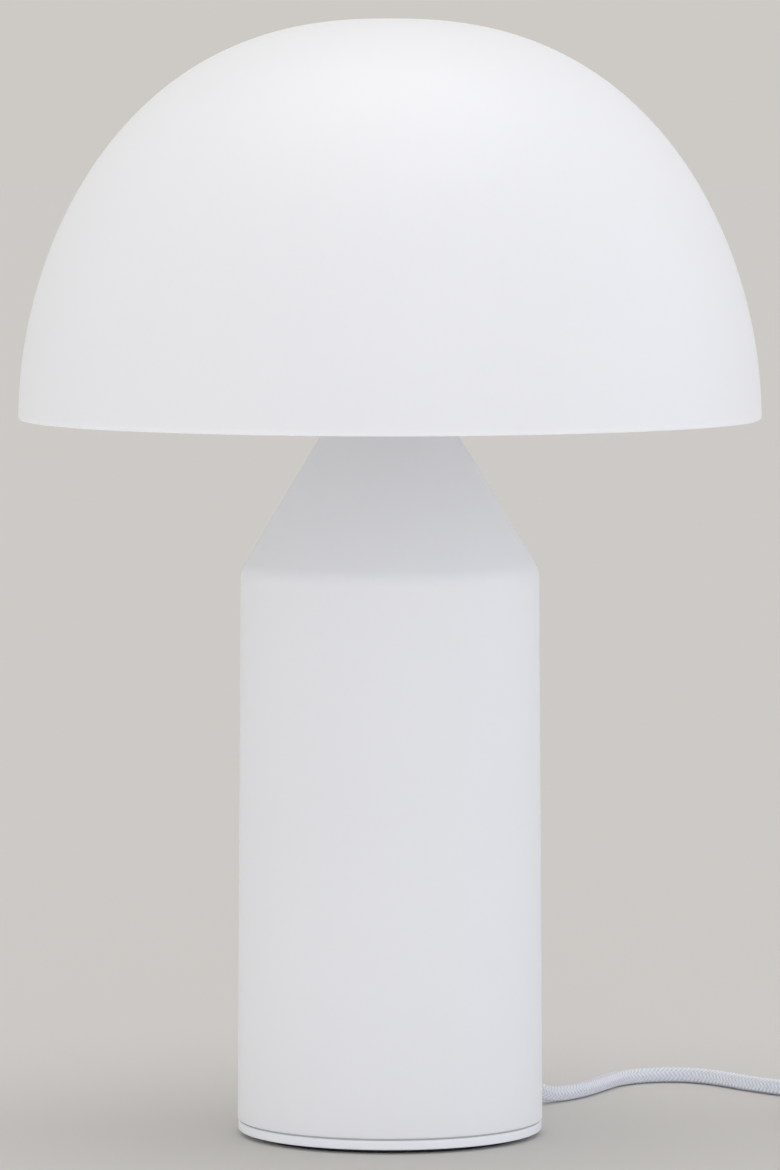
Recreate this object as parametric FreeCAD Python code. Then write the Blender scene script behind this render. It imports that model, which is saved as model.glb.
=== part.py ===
import FreeCAD, Part
import math
import os

# Mushroom table lamp: opal glass dome on an opal glass body, with a braided mains cord.
# Millimetres, +Z up. The origin lies on the lamp's axis, on the table.
# Inner fittings are drawn in a local frame: u points along the cord's exit, v is 90 degrees
# further round, and they are turned about Z at the end.

V = FreeCAD.Vector
X_AXIS = V(1, 0, 0)
Y_AXIS = V(0, 1, 0)
Z_AXIS = V(0, 0, 1)
os.makedirs("parts", exist_ok=True)

# Glass shade
SHADE_R = 150.0
SHADE_H = 161.3
SHADE_EXP_R = 2.365
SHADE_EXP_H = 1.927
SHADE_WALL = 4.0
SHADE_RIM_ROUND = 1.7
SHADE_OVERLAP = 6.5

# Glass body
FOOT_R = 61.9
SHOULDER_R = 60.4
STRAIGHT_H = 223.4
CONE_HALF_ANGLE = 30.9
NECK_R = 20.0
BODY_WALL = 4.2
SHOULDER_ROUND = 14.0
GLASS_EDGE_ROUND = 1.2

# Foot, plate and ballast
PAD_T = 1.8
PAD_R = 56.0
PAD_ROUND = 0.5
PLATE_T = 4.0
PLATE_INSET = 0.3
PLATE_ROUND = 0.9
DISH_R = 25.0
DISH_RECESS_R = 22.0
DISH_RISE = 5.0
DISH_WALL = 3.0
DISH_GAP = 1.0
BALLAST_T = 7.0
BALLAST_RIM_GAP = 3.7
BALLAST_SCREW_PCD = 82.0
BALLAST_SCREW_R = 2.0
BALLAST_HEAD_R = 4.0
BALLAST_HEAD_T = 2.2
BALLAST_SCREW_ANGLES = (0, 120, 240)
NOTCH_GAP = 1.4
GASKET_T = 0.5
GASKET_INSET = 0.9
GASKET_LIP_H = 3.5
GASKET_LIP_T = 1.8
CLEAR = 0.3
SCREW_CLEAR = 0.08
TAP_CLEAR = 0.06
HOLE_CLEAR = 0.1
CUT_OVER = 1.0

# Centre tube and its hardware
TUBE_R = 5.0
TUBE_BORE_R = 3.75
TUBE_CLEAR = 0.2
TUBE_FOOT_GAP = 0.7
TUBE_TOP_REACH = 7.0
THREAD_CLEAR = 0.05
NUT_FLATS = 14.0
NUT_T = 4.0
NUT_CHAMFER = 0.6
WASHER_R = 10.0
WASHER_T = 1.0
SLOT_W = 5.4
SLOT_H = 17.0
SLOT_RISE = 10.5

# Neck and shade carrier
NECK_GASKET_T = 1.5
NECK_LIP_H = 4.0
NECK_LIP_T = 2.0
NECK_CLEAR = 0.25
NECK_CAP_T = 2.0
NECK_CAP_LIP = 0.9
NECK_CAP_ROUND = 0.8
HUB_R = 18.0
HUB_T = 7.0
HUB_ROUND = 1.2
HUB_CLEAR = 0.15
ARM_R = 2.5
ARM_KNEE_R = 36.0
ARM_ROOT_R = 8.5
CARRIER_REACH = 120.0
TIP_R = 4.6
TIP_LENGTH = 12.0
TIP_END_GAP = 0.05
ARM_ANGLES = (90.0, 210.0, 330.0)

# Large lampholder and its globe bulb
DOME_HOLDER = {
    "radius": 20.5, "cap_h": 20.0, "height": 52.0, "wall": 2.0, "shell_r": 13.55,
}
DOME_BULB = {
    "cap_r": 13.25, "cap_h": 24.0, "pitch": 3.6, "collar_h": 10.0, "collar_r": 17.0,
    "body_r": 22.5, "length": 76.0,
}

# Small lampholder and its tubular bulb
BODY_HOLDER = {
    "radius": 14.0, "cap_h": 18.0, "height": 46.0, "wall": 1.6, "shell_r": 7.25,
}
BODY_BULB = {
    "cap_r": 6.95, "cap_h": 20.0, "pitch": 2.8, "collar_h": 8.0, "collar_r": 10.5,
    "body_r": 12.5, "length": 76.0,
}
BULB_WALL = 1.2
CORE_T = 8.0
SHELL_WALL = 0.5
SHELL_END_GAP = 1.0
CONTACT_RISE = 2.5
CONTACT_W = 3.0
CONTACT_T = 0.6
SIDE_CONTACT_W = 4.0
SIDE_CONTACT_H = 9.0
CAP_TIP_H = 2.2
CAP_CONE_H = 6.0
CAP_TURNS = 4
ENTRY_R = 8.0
HOLDER_GAP = 0.5

# Bracket of the small lampholder
BRACKET_V = 33.0
BRACKET_W = 16.0
BRACKET_T = 1.5
BRACKET_TOP_Z = 28.0
BRACKET_FOOT_V = 44.0
BRACKET_END_V = 52.5
BRACKET_SCREW_V = 48.5
BRACKET_SCREW_U = 4.6
BRACKET_NOSE = 9.0
BRACKET_GAP = 0.2
NIPPLE_L = 15.0
NIPPLE_DROP = 1.5

# Cord and its way out of the body
CORD_D = 6.5
CORD_AZIMUTH = 52.0
CORD_CLEAR = 0.1
BUSH_WALL = 1.25
BUSH_FLANGE_LIP = 2.0
BUSH_FLANGE_T = 2.2
BUSH_BARREL_IN = 3.4
BUSH_NUT_T = 2.4
BUSH_LIFT = 0.2
RELIEF_L = 20.6
RELIEF_ROOT_WALL = 1.85
RELIEF_TIP_WALL = 0.75
NOTCH_CLEAR = 0.3
NUT_SEAT_GAP = 0.15
NUT_FLAT = 0.1
SHEATH_END_U = 38.0
CLAMP_U = 46.0
CLAMP_W = 10.0
CLAMP_T = 3.0
CLAMP_HALF = 17.0
CLAMP_SCREW_V = 13.0
SCREW_R = 1.5
SCREW_HEAD_R = 2.75
SCREW_HEAD_T = 1.8
SCREW_HEAD_ROUND = 0.6
SCREW_DEPTH = 5.0
SCREW_UNDER_HEAD = 0.1

# Terminal block and wires
BLOCK_V = 38.0
BLOCK_L = 16.0
BLOCK_H = 12.0
POLE_PITCH = 9.0
SLEEVE_R = 3.2
SLEEVE_BORE_R = 2.0
TERMINAL_SCREW_U = 4.2
TERMINAL_SCREW_R = 1.4
TERMINAL_SCREW_DEPTH = 0.8
TERMINAL_MOUTH = 0.4
SLEEVE_INSET = 0.6
WIRE_R = 0.9
WIRE_STACK = 0.97
WIRE_PAIR = 1.1
WIRE_END = 1.5
WIRE_CLEAR = 0.15
WIRE_TOP_GAP = 1.0

# In-line switch
SWITCH_X = 182.0
SWITCH_Y = 35.0
SWITCH_L = 62.0
SWITCH_W = 27.0
SWITCH_H = 17.0
SWITCH_SPLIT_Z = 8.5
SWITCH_WALL = 2.0
SWITCH_ROUND = 4.0
SWITCH_RIM_ROUND = 1.5
SWITCH_CORD_IN = 5.0
SWITCH_LIFT = 0.1
POST_R = 3.2
POST_X = 7.5
POST_Y = 22.0
POST_END_GAP = 1.0
CASE_SCREW_R = 1.3
CASE_HEAD_R = 2.6
CASE_HEAD_Z0 = 0.5
CASE_HEAD_Z1 = 2.5
CASE_SCREW_RISE = 4.0
TERMINAL_SIZE = 8.0
TERMINAL_H = 5.5
TERMINAL_Y = 14.5
ROCKER_L = 20.0
ROCKER_W = 12.6
ROCKER_GAP = 0.8
ROCKER_TILT = 7.0
ROCKER_SIDE_GAP = 0.4
ROCKER_DEPTH = 2.6
ROCKER_END_H = 4.6
ROCKER_CREST_H = 5.1
ROCKER_MIDDLE_H = 3.4
ROCKER_CREST_IN = 1.0
ROCKER_WELL = 8.0
PIVOT_Z = 13.4
PIVOT_R = 1.0
PIVOT_FIT = 0.05
PIVOT_SEAT = 0.03
EAR_T = 2.6
EAR_HALF = 3.0
PIN_INSET = 0.2

# Cord coil and its tie
COIL_X = 222.0
COIL_Y = -60.0
COIL_OUTER_R = 46.5
COIL_TURNS_PER_LAYER = 2.5
COIL_GAP = 0.6
TIE_T = 1.0
TIE_W = 11.0
TIE_CLEAR = 0.2
TIE_LIFT = 0.15
TIE_ROUND = 1.5
FLOOR_GAP = 0.05

# Plug
PLUG_X = 262.6
PLUG_Y = -6.0
PLUG_HEADING = 98.0
PLUG_RELIEF_L = 22.0
PLUG_RELIEF_WALL = 1.15
PLUG_RELIEF_ROOT_R = 6.2
PLUG_RELIEF_IN = 2.0
PLUG_BODY_L = 35.0
PLUG_SHOULDER_L = 12.0
PLUG_W = 35.3
PLUG_REAR_W = 16.0
PLUG_T = 13.7
PLUG_CORNER = 3.0
PLUG_ROUND = 2.5
PLUG_LIFT = 0.1
PIN_R = 2.0
PIN_L = 19.0
PIN_SPACING = 19.0
PIN_TIP_ROUND = 1.4
PIN_ROOT_R = 1.6
PIN_ROOT_L = 12.0

# Levels worked out from the sizes above
plate_z0 = PAD_T
plate_z1 = plate_z0 + PLATE_T
plate_r = FOOT_R - PLATE_INSET
dish_top_z = plate_z1 + DISH_RISE
recess_top_z = dish_top_z - DISH_WALL
glass_z0 = plate_z1 + GASKET_T
shoulder_z = glass_z0 + STRAIGHT_H
cone_slope = math.tan(math.radians(CONE_HALF_ANGLE))
neck_z = shoulder_z + (SHOULDER_R - NECK_R) / cone_slope
rim_z = neck_z - SHADE_OVERLAP
ballast_top_z = plate_z1 + BALLAST_T
ballast_r = FOOT_R - BODY_WALL - BALLAST_RIM_GAP
glass_inner_foot_r = FOOT_R - BODY_WALL
neck_inner_r = NECK_R - BODY_WALL / math.cos(math.radians(CONE_HALF_ANGLE))
cap_z = neck_z + NECK_GASKET_T
hub_z = cap_z + NECK_CAP_T
hub_top_z = hub_z + HUB_T
dome_holder_z = hub_top_z + WASHER_T + NUT_T + HOLDER_GAP
body_holder_z = BRACKET_TOP_Z + BRACKET_GAP
cord_r = 0.5 * CORD_D
cord_bore_r = cord_r + CORD_CLEAR
bush_r = cord_bore_r + BUSH_WALL
bush_flange_r = bush_r + BUSH_FLANGE_LIP
notch_half = bush_flange_r + NOTCH_GAP
exit_z = glass_z0 + bush_r + BUSH_LIFT
exit_face_u = FOOT_R + CLEAR
relief_end_u = exit_face_u + BUSH_FLANGE_T + RELIEF_L
block_z = ballast_top_z
hole_z = block_z + 0.5 * BLOCK_H
exit_u = V(math.cos(math.radians(CORD_AZIMUTH)), math.sin(math.radians(CORD_AZIMUTH)), 0)
switch_cord_z = SWITCH_SPLIT_Z + SWITCH_LIFT
plug_axis_z = 0.5 * PLUG_T + PLUG_LIFT
plug_u = V(math.cos(math.radians(PLUG_HEADING)), math.sin(math.radians(PLUG_HEADING)), 0)
coil_pitch = CORD_D + COIL_GAP
coil_z = cord_r + TIE_CLEAR + TIE_T + TIE_LIFT
coil_total = 2 * COIL_TURNS_PER_LAYER + 0.5
floor_z = cord_r + FLOOR_GAP

# The cord's route, chosen by hand: from the lamp to the switch, from the switch to the
# coil, and from the coil to the plug. It rests on the table at floor_z.
LEAD_ROUTE = [
    exit_u * relief_end_u + V(0, 0, exit_z),
    exit_u * (relief_end_u + 8.0) + V(0, 0, exit_z),
    V(62.0, 79.3, 8.7),
    V(66.7, 84.8, 5.0),
    V(72.3, 90.6, floor_z),
    V(79.2, 99.2, floor_z),
    V(85.3, 111.0, floor_z),
    V(90.9, 124.0, floor_z),
    V(96.8, 136.4, floor_z),
    V(106.3, 145.4, floor_z),
    V(118.5, 149.2, floor_z),
    V(130.8, 146.2, floor_z),
    V(140.8, 137.2, floor_z),
    V(149.5, 125.0, floor_z),
    V(159.8, 113.0, floor_z),
    V(170.5, 102.0, floor_z + 0.4),
    V(178.6, 90.0, 6.2),
    V(SWITCH_X, 77.0, switch_cord_z),
    V(SWITCH_X, SWITCH_Y + 0.5 * SWITCH_L - SWITCH_CORD_IN, switch_cord_z),
]
TAIL_ROUTE = [
    V(SWITCH_X, SWITCH_Y - 0.5 * SWITCH_L + SWITCH_CORD_IN, switch_cord_z),
    V(SWITCH_X, -7.0, switch_cord_z),
    V(180.3, -20.5, 6.9),
    V(177.2, -33.0, coil_z),
    V(COIL_X - COIL_OUTER_R, -44.0, coil_z),
    V(COIL_X - COIL_OUTER_R, COIL_Y + CORD_D, coil_z),
]
PLUG_ROUTE = [
    V(COIL_X + COIL_OUTER_R, COIL_Y + CORD_D, coil_z + coil_pitch),
    V(COIL_X + COIL_OUTER_R, -43.5, coil_z + coil_pitch),
    V(267.3, -32.0, 9.7),
    V(265.0, -22.0, 7.4),
    plug_u * -9.0 + V(PLUG_X, PLUG_Y, plug_axis_z),
    V(PLUG_X, PLUG_Y, plug_axis_z),
]


def save(name, shapes):
    """Write one named piece, or a group of like pieces, as a STEP file."""
    group = shapes if isinstance(shapes, list) else [shapes]
    shape = group[0] if len(group) == 1 else Part.makeCompound(group)
    for solid in shape.Solids:
        if not solid.isValid() or solid.Volume <= 0:
            print("BAD", name)
    shape.exportStep("parts/" + name + ".step")
    print(name, len(shape.Solids), round(shape.Volume, 1))


def cylinder(radius, z0, z1, x=0.0, y=0.0):
    return Part.makeCylinder(radius, z1 - z0, V(x, y, z0))


def ring(outer, inner, z0, z1, x=0.0, y=0.0):
    bore = cylinder(inner, z0 - CUT_OVER, z1 + CUT_OVER, x, y)
    return cylinder(outer, z0, z1, x, y).cut(bore)


def along_u(radius, u0, u1, v=0.0, z=0.0):
    return Part.makeCylinder(radius, u1 - u0, V(u0, v, z), X_AXIS)


def box(low, high):
    return Part.makeBox(high[0] - low[0], high[1] - low[1], high[2] - low[2], V(*low))


def turned(points, x=0.0, y=0.0):
    """Turn a closed outline of (r, z) points about a vertical axis at x, y."""
    corners = [V(r, 0, z) for r, z in points]
    face = Part.Face(Part.makePolygon(corners + [corners[0]]))
    solid = face.revolve(V(0, 0, 0), Z_AXIS, 360)
    solid = Part.Solid(solid.Shells[0]) if not solid.Solids else solid.Solids[0]
    solid.translate(V(x, y, 0))
    return solid


def turned_edges(edges):
    """Turn a closed loop of edges in the XZ plane about Z."""
    face = Part.Face(Part.Wire(edges))
    return face.revolve(V(0, 0, 0), Z_AXIS, 360).Solids[0]


def line(a, b):
    return Part.LineSegment(a, b).toShape()


def arc(a, b, c):
    return Part.Arc(a, b, c).toShape()


def turn_about_axis(shape, degrees):
    """Turn a piece of the local u, v frame to its place about the lamp's axis."""
    shape.rotate(V(0, 0, 0), Z_AXIS, degrees)
    return shape


def circles(shape, radius, z):
    """Edges of a turned piece at one radius and level."""
    found = []
    for edge in shape.Edges:
        if edge.Degenerated or edge.BoundBox.ZLength > 0.02:
            continue
        size = 0.5 * edge.BoundBox.XLength
        if abs(size - radius) < 0.02 and abs(edge.BoundBox.ZMin - z) < 0.02:
            found.append(edge)
    return found


def tube_wire(points, label=""):
    """Straight runs joined by tangent arcs, each as large as its two runs allow."""
    edges = []
    last = points[0]
    radii = []
    for i in range(1, len(points) - 1):
        back = points[i - 1] - points[i]
        ahead = points[i + 1] - points[i]
        shorter = min(back.Length, ahead.Length)
        half = 0.5 * (math.pi - back.getAngle(ahead))
        radius = 0.45 * shorter / math.tan(half)
        radii.append(round(radius, 1))
        back.normalize()
        ahead.normalize()
        start = points[i] + back * (0.45 * shorter)
        end = points[i] + ahead * (0.45 * shorter)
        inward = back + ahead
        inward.normalize()
        middle = points[i] + inward * (radius / math.cos(half) - radius)
        edges.append(line(last, start))
        edges.append(arc(start, middle, end))
        last = end
    edges.append(line(last, points[-1]))
    if label:
        print(label, "radii", radii)
    return Part.Wire(edges)


def sweep(wire, radius, start, heading):
    section = Part.Wire(Part.makeCircle(radius, start, heading))
    solid = wire.makePipeShell([section], True, False)
    ratio = solid.Volume / (math.pi * radius ** 2 * wire.Length)
    if abs(ratio - 1) > 0.01:
        print("tube volume ratio", round(ratio, 4))
    return solid


def tube(points, radius, label=""):
    wire = tube_wire(points, label)
    solid = sweep(wire, radius, points[0], points[1] - points[0])
    if label:
        print(label, "length", round(wire.Length, 1))
    return solid


def hex_nut(z0, x=0.0, y=0.0):
    across = 0.5 * NUT_FLATS / math.cos(math.radians(30))
    corners = []
    for i in range(7):
        angle = math.radians(60 * i)
        corners.append(V(x + across * math.cos(angle), y + across * math.sin(angle), z0))
    prism = Part.Face(Part.makePolygon(corners)).extrude(V(0, 0, NUT_T))
    cone_h = NUT_T + NUT_CHAMFER
    round_off = Part.makeCone(across - NUT_CHAMFER, across + NUT_T, cone_h, V(x, y, z0))
    nut = prism.common(round_off)
    bore = cylinder(TUBE_R + THREAD_CLEAR, z0 - CUT_OVER, z0 + NUT_T + CUT_OVER, x, y)
    return nut.cut(bore)


def dome_point(phi, radius, height):
    """A point of the dome's outline, a superellipse quarter from rim to crown."""
    r = radius * math.cos(phi) ** (2 / SHADE_EXP_R)
    h = height * math.sin(phi) ** (2 / SHADE_EXP_H)
    return V(r, 0, rim_z + h)


def dome_curve(radius, height):
    count = 15
    points = []
    for i in range(count):
        points.append(dome_point(0.5 * math.pi * i / count, radius, height))
    points.append(V(0, 0, rim_z + height))
    curve = Part.BSplineCurve()
    curve.interpolate(Points=points, InitialTangent=V(0, 0, 1), FinalTangent=V(-1, 0, 0))
    return curve.toShape()


def glass_shade():
    inner_r = SHADE_R - SHADE_WALL
    inner_h = SHADE_H - SHADE_WALL
    outer = dome_curve(SHADE_R, SHADE_H)
    inner = dome_curve(inner_r, inner_h)
    crown = line(V(0, 0, rim_z + SHADE_H), V(0, 0, rim_z + inner_h))
    rim = line(V(inner_r, 0, rim_z), V(SHADE_R, 0, rim_z))
    solid = turned_edges([outer, crown, inner, rim])
    edges = circles(solid, SHADE_R, rim_z) + circles(solid, inner_r, rim_z)
    return solid.makeFillet(SHADE_RIM_ROUND, edges)


def body_outline(offset):
    """Foot, shoulder and neck of the body at a wall offset: (r, z) points."""
    slant = offset / math.cos(math.radians(CONE_HALF_ANGLE))
    shoulder_r = SHOULDER_R - offset
    taper = (FOOT_R - SHOULDER_R) / STRAIGHT_H
    drop = (slant - offset) / cone_slope
    return [
        (FOOT_R - offset, glass_z0),
        (shoulder_r + taper * drop, shoulder_z - drop),
        (NECK_R - slant, neck_z),
    ]


def glass_body():
    outer = body_outline(0.0)
    inner = body_outline(BODY_WALL)
    solid = turned(outer + inner[::-1])
    shoulder = circles(solid, outer[1][0], outer[1][1])
    inside = circles(solid, inner[1][0], inner[1][1])
    solid = solid.makeFillet(SHOULDER_ROUND, shoulder)
    inside = circles(solid, inner[1][0], inner[1][1])
    solid = solid.makeFillet(SHOULDER_ROUND - BODY_WALL, inside)
    rims = circles(solid, FOOT_R, glass_z0) + circles(solid, glass_inner_foot_r, glass_z0)
    rims += circles(solid, NECK_R, neck_z) + circles(solid, neck_inner_r, neck_z)
    solid = solid.makeFillet(GLASS_EDGE_ROUND, rims)
    half = bush_r + NOTCH_CLEAR
    near = 0.5 * FOOT_R
    far = FOOT_R + CUT_OVER
    arch = along_u(half, near, far, 0, exit_z)
    arch = arch.fuse(box((near, -half, glass_z0 - CUT_OVER), (far, half, exit_z)))
    return solid.cut(turn_about_axis(arch, CORD_AZIMUTH))


def base_plate():
    bore = TUBE_R + TUBE_CLEAR
    points = [
        (bore, recess_top_z), (DISH_RECESS_R, recess_top_z),
        (DISH_RECESS_R, plate_z0), (plate_r, plate_z0), (plate_r, plate_z1),
        (DISH_R, plate_z1), (DISH_R, dish_top_z), (bore, dish_top_z),
    ]
    solid = turned(points)
    rims = circles(solid, plate_r, plate_z0) + circles(solid, plate_r, plate_z1)
    solid = solid.makeFillet(PLATE_ROUND, rims)
    for angle in BALLAST_SCREW_ANGLES:
        solid = solid.cut(ballast_screw(angle, SCREW_CLEAR))
    return solid


def foot_pad():
    pad = ring(PAD_R, DISH_RECESS_R + DISH_GAP, 0, PAD_T)
    return pad.makeFillet(PAD_ROUND, circles(pad, PAD_R, 0))


def ballast_screw(angle, grow=0.0):
    """Countersunk screw up through the plate into the ballast."""
    radius = BALLAST_SCREW_R + grow
    foot = V(0, 0, plate_z0)
    head = Part.makeCone(BALLAST_HEAD_R + grow, radius, BALLAST_HEAD_T, foot)
    shank = cylinder(radius, plate_z0 + 0.5 * PLATE_T, plate_z1 + SCREW_DEPTH)
    screw = head.fuse(shank)
    screw.translate(V(0.5 * BALLAST_SCREW_PCD, 0, 0))
    return turn_about_axis(screw.removeSplitter(), CORD_AZIMUTH + 60 + angle)


def small_screw(u, v, top, grow=0.0):
    """Pan-head screw whose head stands on a face at height top."""
    head = cylinder(SCREW_HEAD_R + grow, top, top + SCREW_HEAD_T, u, v)
    if not grow:
        rim = circles(head, SCREW_HEAD_R, top + SCREW_HEAD_T)
        head = head.makeFillet(SCREW_HEAD_ROUND, rim)
    low = ballast_top_z - SCREW_DEPTH
    shank = cylinder(SCREW_R + grow, low, top + SCREW_UNDER_HEAD, u, v)
    return head.fuse(shank)


def ballast_ring():
    solid = ring(ballast_r, DISH_R + DISH_GAP, plate_z1, ballast_top_z)
    notch = box((DISH_RECESS_R, -notch_half, plate_z1 - CUT_OVER),
                (FOOT_R, notch_half, ballast_top_z + CUT_OVER))
    solid = solid.cut(turn_about_axis(notch, CORD_AZIMUTH))
    for angle in BALLAST_SCREW_ANGLES:
        solid = solid.cut(ballast_screw(angle, SCREW_CLEAR))
    for hole in fixing_screws(TAP_CLEAR):
        solid = solid.cut(hole)
    return solid


def body_gasket():
    lip_r = glass_inner_foot_r - CLEAR
    points = [
        (lip_r - GASKET_LIP_T, plate_z1), (FOOT_R - GASKET_INSET, plate_z1),
        (FOOT_R - GASKET_INSET, glass_z0), (lip_r, glass_z0),
        (lip_r, glass_z0 + GASKET_LIP_H), (lip_r - GASKET_LIP_T, glass_z0 + GASKET_LIP_H),
    ]
    gap = box((0.5 * FOOT_R, -notch_half, glass_z0),
              (glass_inner_foot_r, notch_half, glass_z0 + 2 * GASKET_LIP_H))
    return turned(points).cut(turn_about_axis(gap, CORD_AZIMUTH))


def centre_tube():
    top = dome_holder_z + TUBE_TOP_REACH
    bottom = plate_z0 + TUBE_FOOT_GAP
    solid = ring(TUBE_R, TUBE_BORE_R, bottom, top)
    middle = hole_z + SLOT_RISE
    slot = box((-TUBE_R - CUT_OVER, -0.5 * SLOT_W, middle - 0.5 * SLOT_H),
               (0, 0.5 * SLOT_W, middle + 0.5 * SLOT_H))
    return solid.cut(turn_about_axis(slot, CORD_AZIMUTH))


def tube_nuts():
    bracket_nut = hex_nut(BRACKET_TOP_Z - BRACKET_T - NUT_T, 0, -BRACKET_V)
    return [
        hex_nut(recess_top_z - WASHER_T - NUT_T),
        hex_nut(hub_top_z + WASHER_T),
        turn_about_axis(bracket_nut, CORD_AZIMUTH),
    ]


def tube_washers():
    hole = TUBE_R + TUBE_CLEAR
    return [
        ring(WASHER_R, hole, recess_top_z - WASHER_T, recess_top_z),
        ring(WASHER_R, hole, hub_top_z, hub_top_z + WASHER_T),
    ]


def neck_gasket():
    lip_r = neck_inner_r - NECK_CLEAR
    lip_in = lip_r - NECK_LIP_T
    return turned([
        (lip_in, neck_z - NECK_LIP_H), (lip_r, neck_z - NECK_LIP_H), (lip_r, neck_z),
        (NECK_R, neck_z), (NECK_R, cap_z), (lip_in, cap_z),
    ])


def neck_cap():
    outer = NECK_R + NECK_CAP_LIP
    solid = ring(outer, TUBE_R + HUB_CLEAR, cap_z, hub_z)
    return solid.makeFillet(NECK_CAP_ROUND, circles(solid, outer, hub_z))


def arm_end():
    """Where an arm's soft tip meets the dome: centre of its round end, in r and z."""
    inner_r = SHADE_R - SHADE_WALL
    inner_h = SHADE_H - SHADE_WALL
    share = (CARRIER_REACH / inner_r) ** SHADE_EXP_R
    h = inner_h * (1 - share) ** (1 / SHADE_EXP_H)
    normal_r = SHADE_EXP_R * CARRIER_REACH ** (SHADE_EXP_R - 1) / inner_r ** SHADE_EXP_R
    normal_h = SHADE_EXP_H * h ** (SHADE_EXP_H - 1) / inner_h ** SHADE_EXP_H
    size = math.hypot(normal_r, normal_h)
    back = (TIP_R + CLEAR) / size
    return CARRIER_REACH - normal_r * back, rim_z + h - normal_h * back


def arm_level():
    return hub_z + 0.5 * HUB_T


def carrier_hub():
    solid = ring(HUB_R, TUBE_R + HUB_CLEAR, hub_z, hub_top_z)
    rims = circles(solid, HUB_R, hub_z) + circles(solid, HUB_R, hub_top_z)
    solid = solid.makeFillet(HUB_ROUND, rims)
    root = ARM_ROOT_R - TUBE_CLEAR
    for angle in ARM_ANGLES:
        hole = along_u(ARM_R + THREAD_CLEAR, root, HUB_R + CUT_OVER, 0, arm_level())
        solid = solid.cut(turn_about_axis(hole, angle))
    return solid


def arm_points():
    end_r, end_z = arm_end()
    return V(ARM_ROOT_R, 0, arm_level()), V(ARM_KNEE_R, 0, arm_level()), V(end_r, 0, end_z)


def carrier_arms():
    arms = []
    for angle in ARM_ANGLES:
        arms.append(turn_about_axis(tube(list(arm_points()), ARM_R), angle))
    return arms


def carrier_tips():
    root, knee, end = arm_points()
    along = end - knee
    along.normalize()
    tips = []
    for angle in ARM_ANGLES:
        foot = end - along * TIP_LENGTH
        solid = Part.makeCylinder(TIP_R, TIP_LENGTH, foot, along)
        solid = solid.fuse(Part.makeSphere(TIP_R, end))
        start = foot - along * CUT_OVER
        depth = TIP_LENGTH + CUT_OVER + TIP_END_GAP
        bore = Part.makeCylinder(ARM_R + THREAD_CLEAR, depth, start, along)
        solid = solid.removeSplitter().cut(bore)
        tips.append(turn_about_axis(solid, angle))
    return tips


def bulb_base_z(spec, z0):
    return z0 + spec["cap_h"] + 0.5 * CORE_T + CONTACT_RISE


def holder_cap(spec, z0, x, y):
    r = spec["radius"]
    inner = r - spec["wall"]
    top = z0 + spec["cap_h"]
    bore = TUBE_R + THREAD_CLEAR
    return turned([
        (bore, z0), (ENTRY_R, z0), (ENTRY_R, z0 + 3), (r - 2.5, z0 + 5), (r, z0 + 8.5),
        (r, top), (inner, top), (inner, z0 + 9.5), (ENTRY_R, z0 + 6.5), (bore, z0 + 6.5),
    ], x, y)


def holder_skirt(spec, z0, x, y):
    r = spec["radius"]
    inner = r - spec["wall"]
    bottom = z0 + spec["cap_h"]
    top = z0 + spec["height"]
    mouth = spec["shell_r"] + SHELL_WALL + TUBE_CLEAR
    return turned([
        (inner, bottom), (r, bottom), (r, top - 1), (r - 1, top), (mouth, top),
        (mouth, top - 2), (inner, top - 4),
    ], x, y)


def holder_core(spec, z0, x, y):
    middle = z0 + spec["cap_h"]
    radius = spec["radius"] - spec["wall"] - CLEAR
    solid = cylinder(radius, middle - 0.5 * CORE_T, middle + 0.5 * CORE_T, x, y)
    for side in (-1, 1):
        solid = solid.cut(
            cylinder(WIRE_R + WIRE_CLEAR, middle - CORE_T, middle, x, y + side * WIRE_PAIR))
    return solid


def holder_thread(spec, z0, x, y):
    low = z0 + spec["cap_h"] + 0.5 * CORE_T
    high = z0 + spec["height"] - SHELL_END_GAP
    return ring(spec["shell_r"] + SHELL_WALL, spec["shell_r"], low, high, x, y)


def holder_contacts(spec, z0, x, y):
    low = z0 + spec["cap_h"] + 0.5 * CORE_T
    tip = bulb_base_z(spec, z0) - CLEAR
    reach = 0.5 * spec["shell_r"]
    half = 0.5 * CONTACT_W
    leaf = box((x - reach, y - half, low), (x + reach, y + half, low + CONTACT_T))
    tongue = box((x - half, y - half, low + CONTACT_T), (x + half, y + half, tip))
    outer = x + spec["shell_r"] + SHELL_WALL + THREAD_CLEAR
    half = 0.5 * SIDE_CONTACT_W
    side = box((outer, y - half, low), (outer + CONTACT_T, y + half, low + SIDE_CONTACT_H))
    return [leaf.fuse(tongue).removeSplitter(), side]


def screw_cap(spec, z0, x, y):
    """Screw cap: a sleeve with rolled rings, closed below by a cone to its contact."""
    r = spec["cap_r"]
    depth = 0.18 * spec["pitch"]
    tip = z0 + CAP_TIP_H
    z = z0 + CAP_CONE_H
    points = [(0.0, tip), (0.4 * r, tip), (r - depth, z)]
    for _ in range(CAP_TURNS):
        points.append((r, z + 0.35 * spec["pitch"]))
        points.append((r, z + 0.65 * spec["pitch"]))
        z += spec["pitch"]
        points.append((r - depth, z))
    points.append((r - depth, z0 + spec["cap_h"]))
    points.append((0.0, z0 + spec["cap_h"]))
    return turned(points, x, y)


def bulb_contact(spec, z0, x, y):
    r = 0.36 * spec["cap_r"]
    top = z0 + CAP_TIP_H
    return turned([(0, z0), (0.6 * r, z0), (r, z0 + 1.0), (r, top), (0, top)], x, y)


def bulb_collar(spec, z0, x, y):
    low = z0 + spec["cap_h"]
    high = low + spec["collar_h"]
    r = spec["cap_r"]
    return turned([(0, low), (r, low), (r + 0.5, low + 2), (spec["collar_r"], high), (0, high)],
                  x, y)


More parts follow.
